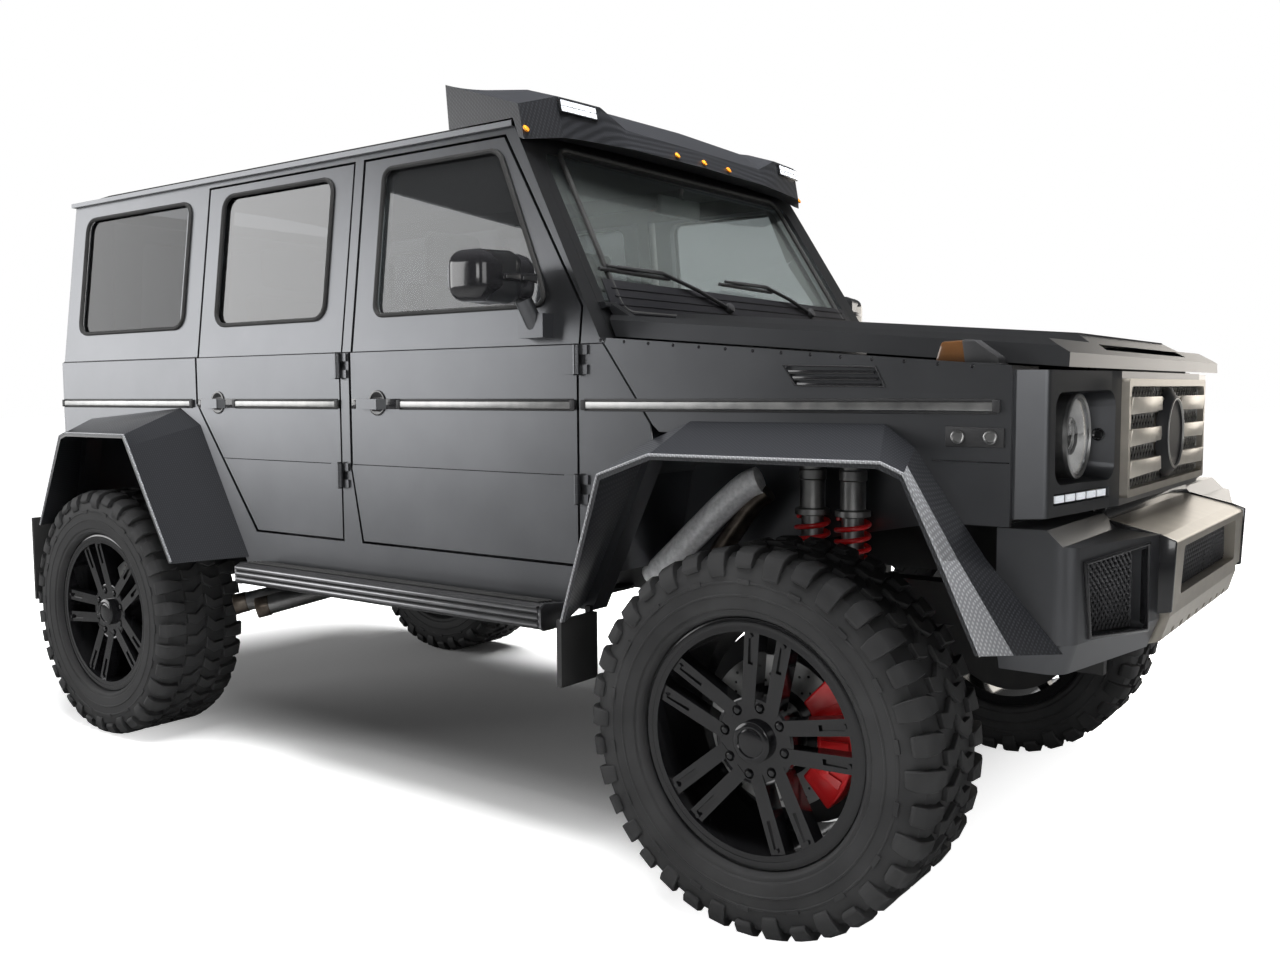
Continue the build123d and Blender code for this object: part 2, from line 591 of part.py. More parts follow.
def nose():
    """Nose panel: a tapered lamp pocket on each side of the grille hole, and a bar above and below it."""
    top, front = HOOD_FRONT_Z - 6, NOSE_X + 40
    half = extrude(Pos(0, 0, NOSE_LOW_Z) * outline(nose_outline(GRILLE_Y + 12), {3: 26}),
                   amount=top - NOSE_LOW_Z)
    y0, y1, z0, z1 = GRILLE_Y + 42, BODY_Y - 94, LAMP_Z - 104, LAMP_Z + 102
    mouth = [(y0 - 10, z0 - 8), (y1 + 8, z0 - 8), (y1 + 8, z1 + 8), (y0 - 10, z1 + 8)]
    floor = [(y0 + 10, z0 + 8), (y1 - 4, z0 + 8), (y1 - 4, z1 - 8), (y0 + 10, z1 - 8)]
    half -= loft([section_at(NOSE_SIDE_X - 34, floor, 34), section_at(front, mouth, 40)], ruled=True)
    strip = [(y0 + 22, NOSE_LOW_Z + 24), (y1 + 4, NOSE_LOW_Z + 24), (y1 + 4, NOSE_LOW_Z + 50),
             (y0 + 22, NOSE_LOW_Z + 50)]
    half -= yz(strip, NOSE_SIDE_X - 14, front)
    y = GRILLE_Y + 12
    low = block(WING_FRONT_X + 40, NOSE_X - 6, -y, y, NOSE_LOW_Z, NOSE_LOW_Z + 18)
    high = block(WING_FRONT_X + 40, NOSE_X - 6, -y, y, HOOD_FRONT_Z - 23, top)
    return half + mirrored(half) + low + high


GRILLE_FRAME = 18.0
SLAT_PITCH = 76.0
SLAT_H = 40.0
BOSS_R = 98.0


def grille():
    """Grille: rounded surround, radiator plate, three wedge slats and a plain round boss."""
    y, z0, z1 = GRILLE_Y + 11, NOSE_LOW_Z + 18 + SEAT, HOOD_FRONT_Z - 23 - SEAT
    middle = (z0 + z1) / 2
    shell = yz([(-y, z0), (y, z0), (y, z1), (-y, z1)], NOSE_X - 40, NOSE_X + 12, 10)
    f = GRILLE_FRAME
    mouth = [(-y + f, z0 + f), (y - f, z0 + f), (y - f, z1 - f), (-y + f, z1 - f)]
    shell -= yz(mouth, NOSE_X - 12, NOSE_X + 30, 16)
    for k in (-1, 0, 1):
        z, h = middle + k * SLAT_PITCH, SLAT_H / 2
        slat = [(NOSE_X - 14, z - h), (NOSE_X + 2, z - h), (NOSE_X + 9, z + h - 6), (NOSE_X + 4, z + h),
                (NOSE_X - 14, z + h)]
        shell += xz(slat, -y + f - 2, y - f + 2)
    cone = Cone(BOSS_R + 16, BOSS_R, 32)
    return shell + Pos(NOSE_X - 2, 0, middle) * Rot(0, 90, 0) * cone


LAMP_PROFILE = [
    # depth from the back face and share of the lens radius
    (0, 1.0),
    (26, 1.0),
    (40, 0.78),
    (50, 0.5),
    (56, 0.2),
]


def headlamp():
    """Round headlamp with a domed lens, as a turned solid."""
    rim = [(x, share * LAMP_R) for x, share in LAMP_PROFILE]
    profile = [(0, 0), *rim, (rim[-1][0], 0)]
    return Pos(NOSE_SIDE_X - 34 + SEAT, LAMP_Y, LAMP_Z) * revolve(outline(profile), Axis.X)


def front_lamps():
    """Headlamps, running-light strips and the indicators on top of the wings."""
    y0, y1 = GRILLE_Y + 64, BODY_Y - 90
    strip = block(NOSE_SIDE_X - 14 + SEAT, NOSE_SIDE_X + 8, y0 + 2, y1 - 2, NOSE_LOW_Z + 26,
                  NOSE_LOW_Z + 48)
    x, z = FRONT_X + 381, HOOD_FRONT_Z
    shape = [(x, hood_lip_z(x) - 4), (x + 16, z + 60), (x + 86, z + 60), (x + 144, z + 20),
             (x + 144, hood_lip_z(x + 144) - 4)]
    indicator = xz(shape, BODY_Y - 60, BODY_Y - 16, {1: 10, 2: 24})
    return pair(Compound([*headlamp().solids(), *strip.solids(), *indicator.solids()]))


BUMPER_UNDERCUT = 26.0
BUMPER_CORNER = 44.0


def bumper_plan(inset):
    """Plan of the left bumper end, its outer edges drawn in by inset."""
    y0, y1, back = BULL_BAR_Y + SEAT, BODY_Y - inset, NOSE_X - 144
    plan = [(back + 40, y0), (BULL_BAR_X - 30 - inset, y0), (NOSE_X + 12 - inset, y1)]
    plan += [(back, y1), (back, BODY_Y - 178), (back + 40, BODY_Y - 188)]
    return outline(plan, {2: BUMPER_CORNER})


def bumper_wing():
    """Left bumper end: rounded corner, undercut foot, sloping step on top and an air-intake pocket."""
    knee = BUMPER_LOW_Z + 70
    foot = loft([Pos(0, 0, BUMPER_LOW_Z) * bumper_plan(BUMPER_UNDERCUT), Pos(0, 0, knee) * bumper_plan(0)],
                ruled=True)
    wing = foot + extrude(Pos(0, 0, knee) * bumper_plan(0), amount=BUMPER_TOP_Z - knee)
    step, tip = NOSE_X - 40, BULL_BAR_X + 10
    cut = [(step, BUMPER_TOP_Z + 1), (step + 34, BUMPER_TOP_Z - 33), (tip, BUMPER_TOP_Z - 46),
           (tip, BUMPER_TOP_Z + 1)]
    wing -= xz(cut, BULL_BAR_Y - 10, BODY_Y + 10)
    y0, y1, z = BULL_BAR_Y + 74, BODY_Y - 62, BUMPER_LOW_Z
    pocket = [(y0, z + 55), (y1 - 24, z + 82), (y1, z + 236), (y0, z + 252)]
    return wing - yz(pocket, NOSE_X - 30, BULL_BAR_X + 20, 18)


SKID_SLOTS = 8


def bull_bar():
    """Centre bar with a mesh window, sloping deck behind it and slotted skid plate below."""
    x, y, top = BULL_BAR_X, BULL_BAR_Y, BUMPER_TOP_Z
    back = x - 166
    bar = xz([(back, top - 15), (x - 30, top - 48), (x, top - 60), (x - 6, top - 214), (back, top - 214)],
             -y, y, {2: 10})
    bar -= yz([(-350, top - 194), (350, top - 194), (336, top - 80), (-336, top - 80)], x - 56, x + 20, 12)
    skid = [(x - 12, top - 214), (x - 12, top - 238), (x - 30, top - 298), (x - 216, top - 360)]
    skid += [(x - 216, top - 344), (x - 60, top - 214)]
    plate = xz(skid, -y + 20, y - 20, {2: 10})
    for k in range(SKID_SLOTS):
        slot_y = 92 * (k - (SKID_SLOTS - 1) / 2)
        plate -= block(x - 70, x, slot_y - 14, slot_y + 14, top - 300, top - 278)
    return bar + plate


LIGHT_BAR = [
    # y; front x, low z and top z; middle x and z; rear x and z; x from the roof's front edge, z from its top
    (0, 134, -114, -58, 28, 14, -112, 22),
    (400, 128, -116, -56, 24, 8, -116, 14),
    (520, 120, -120, -8, -12, 28, -222, 54),
    (640, 110, -124, -8, -26, 28, -262, 62),
    (700, 104, -128, -8, -32, 28, -282, 64),
    (806, 48, -142, -40, -72, -8, -262, 56),
]


def roof_top(y):
    """Height of the roof skin at y."""
    if y <= SHOULDER_Y:
        return ROOF_Z - 26 * (y / SHOULDER_Y) ** 2
    return max(DRIP_Z + 18, ROOF_Z - 26 - (y - SHOULDER_Y) * 0.41)


def light_bar():
    """Visor over the screen: a low middle and a raised lamp pod at each end."""
    x0, z0, sections = SCREEN_TOP_X, ROOF_Z, []
    for y, fx, fz, tz, mx, mz, rx, rz in LIGHT_BAR:
        under = roof_top(y) + 3
        points = [(x0 + fx, z0 + fz), (x0 + fx - 22, z0 + tz), (x0 + mx, z0 + mz), (x0 + rx, z0 + rz)]
        points += [(x0 + rx + 12, under), (x0 + 6, under), (x0 + 28, z0 + fz + 8)]
        sections.append(outline_at(y, points))
    half = loft(sections[:2], ruled=True)
    for a, b in zip(sections[1:], sections[2:]):
        half += loft([a, b], ruled=True)
    return half + mirrored(half)


def front_end():
    """Hood, wings, nose, bumper and lamps."""
    PARTS["hood"] = hood()
    PARTS["front_wings"] = pair(front_wing())
    PARTS["nose_panel"] = nose()
    PARTS["grille"] = grille()
    PARTS["front_lamps"] = front_lamps()
    PARTS["front_bumper"] = pair(bumper_wing())
    PARTS["bull_bar"] = bull_bar()
    PARTS["light_bar"] = light_bar()


# Arch flares, boards and tail

FLARE_T = 14.0
FLARE_EDGE = 18.0
FRONT_ROOT = [(-635, 250), (-411, 688), (-252, 752), (275, 752), (348, 700), (511, 466), (679, 278)]
FRONT_LIP = [(-529, 234), (-409, 608), (-254, 663), (335, 662), (388, 641), (471, 467), (554, 291)]
REAR_ROOT = [(-468, 315), (-359, 692), (-275, 730), (351, 775), (473, 715), (739, 258)]
REAR_LIP = [(-367, 315), (-187, 656), (-150, 668), (249, 668), (275, 626), (517, 236)]


def dropped(points):
    """Outline with its two ends carried on downward, so that a cut with it leaves no lip below."""
    (x0, z0), (x9, z9) = points[0], points[-1]
    return [(x0, z0 - 120), *points, (x9, z9 - 120)]


def flare(root, lip, wheel_x):
    """Arch flare: a thin shoulder from the body out to its edge round the wheel."""
    outer_lip = toward(lip, wheel_x, -FLARE_T)
    outer_lip[0] = (outer_lip[0][0], lip[0][1])
    outer_lip[-1] = (outer_lip[-1][0], lip[-1][1])
    start = BODY_Y + SEAT
    outer = loft([outline_at(start, root), outline_at(FLARE_Y, outer_lip)], ruled=True)
    edge = extrude(Plane.XZ.offset(-FLARE_Y) * outline(outer_lip), amount=FLARE_EDGE)
    inner_root = dropped(toward(root, wheel_x, 2.2 * FLARE_T))
    inner = loft([outline_at(start - 0.5, inner_root), outline_at(FLARE_Y + 0.5, dropped(lip))], ruled=True)
    hole = extrude(Plane.XZ.offset(-FLARE_Y - 1) * outline(dropped(lip)), amount=FLARE_EDGE + 2)
    return (outer + edge) - inner - hole


BOARD_X = (REAR_X + 825, FRONT_X - 660)
BOARD_Y = BODY_Y + 122
BOARD_Z = RAIL_LOW_Z - 38
RIB_R = 11.0
OUTRIGGERS = 3


def running_board():
    """Left side step: a tread with three ribs along its edge, on outriggers from the frame rail."""
    x0, x1 = BOARD_X
    y0, y1, z = BODY_Y + 14, BOARD_Y, BOARD_Z
    shape = [(y0, z + 12), (y0, z + 62), (y1 - 26, z + 70), (y1 - 8, z + 60), (y1 - 8, z + 14),
             (y1 - 22, z), (y0 + 12, z)]
    deck = yz(shape, x0, x1, {2: 8, 3: 8})
    for k in range(3):
        centre = z + 18 + 19 * k
        deck += rod((x0 + 12, y1 - RIB_R, centre), (x1 - 12, y1 - RIB_R, centre), RIB_R)
    for k in range(OUTRIGGERS):
        x = x0 + (0.08 + 0.42 * k) * (x1 - x0)
        deck += block(x - 30, x + 30, RAIL_Y + RAIL_W / 2 + SEAT, BODY_Y + 30, RAIL_LOW_Z - 2,
                      RAIL_LOW_Z + 8 - SEAT)
    return deck


REAR_LAMP_Y = (BODY_Y - 278, BODY_Y - 28)
REAR_LAMP_Z = (SILL_Z + 30, SILL_Z + 115)


def rear_bumper():
    """Rear bumper beam with lamp pockets at its ends and two side rods behind each flap."""
    x0, x1, z = REAR_END_X, BODY_REAR_X - SEAT, SILL_Z
    profile = [(x0, z), (x0, z + 138), (x0 + 14, z + 152), (x1, z + 152), (x1, z - 40), (x0 + 30, z - 40)]
    beam = xz(profile, -BODY_Y, BODY_Y)
    for side in (1, -1):
        y0, y1 = sorted(side * y for y in REAR_LAMP_Y)
        beam -= block(x0 - 5, x0 + 18, y0, y1, *REAR_LAMP_Z)
        for rod_z in (z - 20, z + 50):
            start = (BODY_REAR_X - 30, side * (BODY_Y - 2), rod_z)
            end = (BODY_REAR_X - 160, side * (BODY_Y + 62), rod_z - 12)
            beam += rod(start, end, 14)
    return beam


def rear_lamp():
    """Tail lamp in the left pocket of the rear bumper."""
    (y0, y1), (z0, z1) = REAR_LAMP_Y, REAR_LAMP_Z
    return block(REAR_END_X + 2, REAR_END_X + 18 - SEAT, y0 + 4, y1 - 4, z0 + 4, z1 - 4)


FLAP_T = 16.0


def mud_flaps():
    """Flaps behind the wheels, one solid each."""
    x, y = FRONT_X - TYRE_R - 107, BODY_Y + SEAT
    front = block(x, x + FLAP_T, y, FLARE_Y - 20, HUB_Z + 54, SILL_Z - SEAT)
    front += block(x - 16, x + 1, y, BODY_Y + 14, SILL_Z - 40, SILL_Z + 14)
    x = BODY_REAR_X - 9
    rear = block(x, x + FLAP_T - 4, y, FLARE_Y - 24, HUB_Z + 4, FLOOR_Z)
    return pair(Compound([*front.solids(), *rear.solids()]))


def trim_and_guards():
    """Flares, side steps, flaps and the rear bumper."""
    front = flare(around(FRONT_X, FRONT_ROOT), around(FRONT_X, FRONT_LIP), FRONT_X)
    rear = flare(around(REAR_X, REAR_ROOT), around(REAR_X, REAR_LIP), REAR_X)
    PARTS["arch_flares"] = pair(Compound([*front.solids(), *rear.solids()]))
    PARTS["running_boards"] = pair(running_board())
    PARTS["rear_bumper"] = rear_bumper()
    PARTS["rear_lamps"] = pair(rear_lamp())
    PARTS["mud_flaps"] = mud_flaps()


# Frame and drive line

CROSS_X = (FRONT_X + 535, FRONT_X - 385, 160.0, -520.0, REAR_X + 415, REAR_X - 435)
TANK_X = (REAR_X - 375, REAR_X - 135)


def frame_rail():
    """Left box rail with its recovery eye."""
    x, y, z = RECOVERY_EYE
    y0, y1 = RAIL_Y - RAIL_W / 2, RAIL_Y + RAIL_W / 2
    rail = block(REAR_X - 475, FRONT_X + 573, y0, y1, RAIL_LOW_Z, RAIL_TOP_Z)
    eye = block(x - 140, x + 40, y - EYE_T / 2, y + EYE_T / 2, z - 40, RAIL_LOW_Z - SEAT)
    eye += block(x - 140, x - 50, y - EYE_T / 2, y + EYE_T / 2, z, RAIL_LOW_Z + 1)
    return rail + eye - drum(x, y - EYE_T, y + EYE_T, z, EYE_R)


def chassis_frame():
    """Ladder frame: two box rails, cross members and a fuel tank between them, and the tow jaw."""
    rail, reach = frame_rail(), RAIL_Y - RAIL_W / 2 - SEAT
    low, high = RAIL_LOW_Z + 10, RAIL_TOP_Z - 12
    members = [block(x - 30, x + 30, -reach, reach, low, high) for x in CROSS_X]
    tank = block(*TANK_X, -reach, reach, RAIL_LOW_Z - 105, high - 8)
    x, z = TOW_PIN
    last, half = CROSS_X[-1], TOW_EAR_SPAN / 2
    jaw = block(x - 35, last + 10, -50, 50, z - half, z + half)
    jaw -= block(x - 40, x + 75, -60, 60, z - half + TOW_EAR_T, z + half - TOW_EAR_T)
    jaw += block(last - 25, last + 10, -50, 50, z, RAIL_LOW_Z + 20)
    jaw -= Pos(x, 0, z) * Cylinder(TOW_PIN_R, 2 * TOW_EAR_SPAN)
    members[-1] += jaw
    pieces = [rail, mirrored(rail), *members, tank]
    return Compound([solid for piece in pieces for solid in piece.solids()])


DIFF_Y = 150.0
DIFF_R = 128.0


def drive_line():
    """Engine as one block, gearbox, transfer case and the two shafts."""
    under = FLOOR_Z - SEAT
    engine = block(FRONT_X - 345, FRONT_X + 355, -250, 250, FLOOR_Z, FLOOR_Z + 380)
    engine += block(FRONT_X - 285, FRONT_X + 315, -200, 200, FLOOR_Z + 379, FLOOR_Z + 470)
    engine += block(FRONT_X - 395, FRONT_X - 325, -70, 70, RAIL_TOP_Z - 12 + SEAT, FLOOR_Z + 40)
    gearbox = yz([(-130, under), (-130, under - 60), (-80, RAIL_LOW_Z), (80, RAIL_LOW_Z),
                  (130, under - 60), (130, under)],
                 330, FRONT_X - 440)
    case = block(232, 332, -240, 130, RAIL_LOW_Z - 50, under)
    front_shaft = rod((292, -185, RAIL_LOW_Z - 10), (FRONT_X - DIFF_R - 12, -DIFF_Y, AXLE_Z), 26)
    rear_shaft = rod((262, 0, RAIL_LOW_Z - 26), (REAR_X + DIFF_R + 12, -DIFF_Y, AXLE_Z), 30)
    return engine + gearbox + case + front_shaft + rear_shaft


EXHAUST_Z = RAIL_LOW_Z - 84
CAN_X = REAR_X + 1195
CAN_Y = BODY_Y - 288


def exhaust():
    """Left silencer with two side pipes that end under the sill."""
    can = Pos(CAN_X, CAN_Y, EXHAUST_Z + 4) * Rot(0, 90, 0) * Cylinder(62, 620)
    for k, tip_x in enumerate((REAR_X + 764, REAR_X + 636)):
        bend = (CAN_X - 330 - 100 * k, CAN_Y + 50 - 40 * k, EXHAUST_Z - 16)
        can += rod((CAN_X - 270, CAN_Y + 30 - 60 * k, EXHAUST_Z), bend, 30)
        can += rod(bend, (tip_x, BODY_Y - 16, EXHAUST_Z - 62), 34)
        can += Pos(*bend) * Sphere(34)
    hanger = block(CAN_X - 90, CAN_X - 50, RAIL_Y + RAIL_W / 2 + SEAT, CAN_Y + 20, EXHAUST_Z + 49,
                   EXHAUST_Z + 106)
    return can + hanger


def under_body():
    """Frame, drive line and exhausts."""
    PARTS["chassis_frame"] = chassis_frame()
    PARTS["drive_line"] = drive_line()
    PARTS["exhausts"] = pair(exhaust())


# Axles, wheels and steering

AXLE_TUBE_R = 42.0
SPINDLE_R = 40.0
DISC_R = RIM_SEAT_R - 92.4
DISC_T = 32.0
DISC_IN_Y = WHEEL_Y - 27
PORTAL_IN_Y = WHEEL_Y - 130
PORTAL_OUT_Y = WHEEL_Y - 32
HUB_OUT_Y = WHEEL_Y + 110
SPINDLE_OUT_Y = WHEEL_Y + 87
STEER_ARM = 205.0
STEER_ARM_IN = 25.0
TIE_ROD_R = 16.0
ARM_Z = HUB_Z + 8
TRACK_ROD_Z = HUB_Z + 62
PIVOT_R = 44.0
PIVOT_H = 84.0
PIN_R = 20.0
FORK_T = 20.0
CALLIPER_GAP = 5.0
CALLIPER_ARC = 92.0
CALLIPER_DEPTH = 62.0
STRUT_LOW_Z = AXLE_Z + 74
STRUT_DX = 58.0
SPRING_R = 50.0


def portal_box(x):
    """Left portal gear case, from the axle tube's line down to the wheel's, with its spindle."""
    case = drum(x, PORTAL_IN_Y, PORTAL_OUT_Y, HUB_Z, 84) + drum(x, PORTAL_IN_Y, PORTAL_OUT_Y, AXLE_Z, 78)
    case += block(x - 78, x + 78, PORTAL_IN_Y, PORTAL_OUT_Y, HUB_Z, AXLE_Z)
    return case + drum(x, PORTAL_OUT_Y - 5, SPINDLE_OUT_Y, HUB_Z, SPINDLE_R)


def calliper(x):
    """Left brake calliper astride the disc, ahead of the hub, as a sector about the axle."""
    y0, y1 = PORTAL_OUT_Y - 22, DISC_IN_Y + DISC_T + 18
    inner, outer = DISC_R - CALLIPER_DEPTH, DISC_R + 30
    section = [(inner, y0), (outer - 8, y0), (outer, y0 + 12), (outer, y1 - 16), (outer - 14, y1),
               (inner, y1)]
    body = Rot(0, -CALLIPER_ARC / 2, 0) * revolve(Plane.XY * outline(section), Axis.Y, CALLIPER_ARC)
    body -= drum(0, DISC_IN_Y - CALLIPER_GAP, DISC_IN_Y + DISC_T + CALLIPER_GAP, 0, DISC_R + 8)
    return Pos(x, 0, HUB_Z) * (body + block(0, inner + 6, y0, PORTAL_OUT_Y, -40, 40))


def axle_beam(x, end_y):
    """Axle tube with its off-centre differential."""
    tube = rod((x, -end_y, AXLE_Z), (x, end_y, AXLE_Z), AXLE_TUBE_R)
    diff = Pos(x, -DIFF_Y, AXLE_Z) * Sphere(DIFF_R)
    return tube + (diff & block(x - 150, x + 150, -400, 100, AXLE_Z - 110, AXLE_Z + 104))


def strut_seat(x, y):
    """Left seat for two struts on the axle tube."""
    return block(x - 112, x + 112, y - 32, y + 32, AXLE_Z + 20, STRUT_LOW_Z - SEAT)


def trailing_link(x, end_x, side):
    """Link from the axle tube to the underside of the frame rail."""
    return rod((x, side * (RAIL_Y - 100), AXLE_Z), (end_x, side * (RAIL_Y - 40), RAIL_LOW_Z - 26.5), 26)


def front_axle():
    """Steered axle beam ending in kingpin bosses, with its links, and the track rod behind it."""
    beam = axle_beam(FRONT_X, KINGPIN_Y)
    boss = Pos(FRONT_X, KINGPIN_Y, AXLE_Z) * Cylinder(PIVOT_R, 2 * PIVOT_H)
    bore = Pos(FRONT_X, KINGPIN_Y, AXLE_Z) * Cylinder(PIN_R + SEAT, 3 * PIVOT_H)
    seat = strut_seat(FRONT_X, STRUT_Y)
    beam = beam + boss + mirrored(boss) + seat + mirrored(seat) - bore - mirrored(bore)
    end, x = KINGPIN_Y - STEER_ARM_IN, FRONT_X - STEER_ARM
    track = rod((x, -end, TRACK_ROD_Z), (x, end, TRACK_ROD_Z), TIE_ROD_R)
    for side in (1, -1):
        track += rod((x, side * (end - 12), ARM_Z + 20 + SEAT), (x, side * (end - 12), TRACK_ROD_Z), 14)
        beam += trailing_link(FRONT_X - 30, FRONT_X - 665, side)
    return Compound([*beam.solids(), *track.solids()])


def knuckle():
    """Left steering knuckle: fork on the kingpin, portal case, spindle, steering arm and calliper."""
    x, y, z = FRONT_X, KINGPIN_Y, AXLE_Z + PIVOT_H + 6
    plate = [(x - 46, y - 40), (x + 46, y - 40), (x + 60, PORTAL_IN_Y + 20), (x - 60, PORTAL_IN_Y + 20)]
    low = 2 * AXLE_Z - z
    body = portal_box(x) + xy(plate, z, z + FORK_T) + xy(plate, low - FORK_T, low)
    body += block(x - 60, x + 60, PORTAL_IN_Y, PORTAL_IN_Y + 40, low - FORK_T, z + FORK_T)
    body += Pos(x, y, z - 19) * Cylinder(PIN_R, 40) + Pos(x, y, low + 19) * Cylinder(PIN_R, 40)
    end = (x - STEER_ARM, y - STEER_ARM_IN, ARM_Z)
    body += rod((x - 60, PORTAL_IN_Y + 26, ARM_Z), end, 20) + Pos(*end) * Cylinder(26, 40)
    return body + calliper(x)


def rear_axle():
    """Rear axle beam with a portal case, spindle and calliper at each end."""
    beam = axle_beam(REAR_X, PORTAL_IN_Y + 10)
    end = portal_box(REAR_X) + calliper(REAR_X) + strut_seat(REAR_X, REAR_STRUT_Y)
    for side in (1, -1):
        beam += trailing_link(REAR_X + 20, REAR_X + 640, side)
    return beam + end + mirrored(end)


def strut(x, y, top):
    """Damper with its coil spring as one sleeve, standing on the axle."""
    upright = (Align.CENTER, Align.CENTER, Align.MIN)
    foot = Pos(x, y, STRUT_LOW_Z)
    coil = Pos(0, 0, 40) * Cylinder(SPRING_R, 240, align=upright)
    return foot * (Cylinder(30, 170, align=upright) + coil + Cylinder(26, top - STRUT_LOW_Z, align=upright))


def running_gear():
    """Axles, struts and steering knuckles."""
    PARTS["front_axle"] = front_axle()
    PARTS["rear_axle"] = rear_axle()
    struts = []
    for dx in (-STRUT_DX, STRUT_DX):
        struts += strut(FRONT_X + dx, STRUT_Y, ARCH_TOP_Z - SEAT).solids()
        struts += strut(REAR_X + dx, REAR_STRUT_Y, WHEELHOUSE_TOP_Z - WHEELHOUSE_T - SEAT).solids()
    PARTS["struts"] = pair(Compound(struts))
    left = knuckle()
    PARTS["knuckle_left"] = left
    PARTS["knuckle_right"] = mirrored(left)


RIM_FLANGE_R = RIM_SEAT_R + 18.6
RIM_WALL = 14.0
SPOKE_FACE_Y = WHEEL_Y + RIM_W / 2 - 7
SPOKE_PAIRS = 5
SPOKE_T = 42.0
HUB_R = 98.0
BOLT_CIRCLE_R = 82.5
BOLTS = 8


def bar_section(y, z, middle, width, depth):
    """Level rectangle for a spoke's loft: its outer face at y, its middle and width along x."""
    plane = Plane(origin=(middle, y - depth / 2, z), x_dir=(1, 0, 0), z_dir=(0, 0, 1))
    return plane * Rectangle(width, depth)


def spoke(lean):
    """One of a pair of spokes, rising from the hub to the rim's edge, with a groove along its face."""
    root, tip, face = 78.0, RIM_SEAT_R - 12, SPOKE_FACE_Y - WHEEL_Y
    arm = loft([bar_section(face - 16, root, lean * 32, 36, SPOKE_T),
                bar_section(face, tip, lean * 44, 40, SPOKE_T)], ruled=True)
    groove = loft([bar_section(face - 15, root + 40, lean * 34, 12, 7),
                   bar_section(face + 1, tip - 18, lean * 43, 16, 7)], ruled=True)
    return arm - groove


def rim():
    """Left rim about the Y axis at the origin: barrel, hub with bore, five twin spokes and the disc."""
    half, r = RIM_W / 2, RIM_SEAT_R
    profile = [(RIM_FLANGE_R, -half), (RIM_FLANGE_R, -half + 12), (r, -half + 14), (r, half - 14),
               (RIM_FLANGE_R, half - 12),
               (RIM_FLANGE_R, half), (r - RIM_WALL, half), (r - RIM_WALL, -half)]
    wheel = revolve(Plane.XY * outline(profile), Axis.Y)
    wheel += drum(0, DISC_IN_Y + DISC_T - WHEEL_Y, HUB_OUT_Y - WHEEL_Y, 0, HUB_R)
    for k in range(SPOKE_PAIRS):
        for lean in (-1, 1):
            wheel += Rot(0, 360 / SPOKE_PAIRS * k, 0) * spoke(lean)
    out = HUB_OUT_Y - WHEEL_Y
    for k in range(BOLTS):
        wheel -= Rot(0, 360 / BOLTS * k, 0) * drum(0, out - 10, out + 20, BOLT_CIRCLE_R, 13)
    wheel += drum(0, DISC_IN_Y - WHEEL_Y, DISC_IN_Y + DISC_T - WHEEL_Y, 0, DISC_R)
    wheel += drum(0, out - 10, out + 18, 0, 50)
    return wheel - drum(0, DISC_IN_Y - 20 - WHEEL_Y, SPINDLE_OUT_Y + 2 - WHEEL_Y, 0, SPINDLE_R + SEAT)


LUGS = 36
LUG_ARC = 6.2
LUG_H = 13.0
CARCASS_R = TYRE_R - LUG_H
CARCASS_HALF = TYRE_W / 2 - 5


def shoulder_lug(reach):
    """Shoulder lug that runs reach millimetres down the side wall, as a sector about the Y axis."""
    out = TYRE_W / 2
    section = [(CARCASS_R - 8, out - 84), (TYRE_R, out - 84), (TYRE_R, out - 34), (TYRE_R - 13, out - 9)]
    section += [(TYRE_R - 36, out), (TYRE_R - reach, out - 2), (TYRE_R - reach, out - 22),
                (CARCASS_R - 22, out - 50)]
    lug = revolve(Plane.XY * outline(section), Axis.Y, LUG_ARC)
    return Rot(0, -LUG_ARC / 2, 0) * lug


def tyre():
    """Left tyre about the Y axis at the origin: carcass with long and short shoulder lugs by turns."""
    half, bead = CARCASS_HALF, RIM_W / 2 - 14 - SEAT
    side = [(RIM_SEAT_R + SEAT, bead), (RIM_FLANGE_R + 3, bead), (RIM_FLANGE_R + 5, bead + 22),
            (TYRE_R - 104, half)]
    side += [(TYRE_R - 48, half - 1), (CARCASS_R - 6, half - 20), (CARCASS_R, half - 48)]
    block_edge = [(CARCASS_R, half - 86), (TYRE_R - 4, half - 90)]
    profile = side + block_edge + [(r, -y) for r, y in reversed(side + block_edge)]
    carcass = revolve(Plane.XY * outline(profile), Axis.Y)
    pitch, lugs = 360 / LUGS, []
    for reach, first in ((66.0, 0), (46.0, 1)):
        lug = shoulder_lug(reach)
        for k in range(first, LUGS, 2):
            lugs.append(Rot(0, k * pitch + 90, 0) * lug)
            lugs.append(Rot(0, (k + 0.5) * pitch + 90, 0) * mirrored(lug))
    return carcass + lugs


def wheels():
    """Four wheels; the right ones are the left ones mirrored."""
    left_rim, left_tyre = rim(), tyre()
    for place, x, turn in (("front", FRONT_X, 10), ("rear", REAR_X, -18)):
        for side in ("left", "right"):
            for name, shape in (("rim", left_rim), ("tyre", left_tyre)):
                placed = Pos(x, WHEEL_Y, HUB_Z) * Rot(0, turn, 0) * shape
                PARTS[f"{name}_{place}_{side}"] = placed if side == "left" else mirrored(placed)


# Cabin

FASCIA_X = DOOR_FRONT_X - 255
REAR_SEAT_X = REAR_X + 505
LEG_SPACE = FASCIA_X - REAR_SEAT_X
SEAT_DEPTH = 0.339 * LEG_SPACE
FRONT_SEAT_X = REAR_SEAT_X + 0.584 * LEG_SPACE
SEAT_BASE_Z = FLOOR_Z + FLOOR_T + SEAT
WHEEL_TILT = 24.0


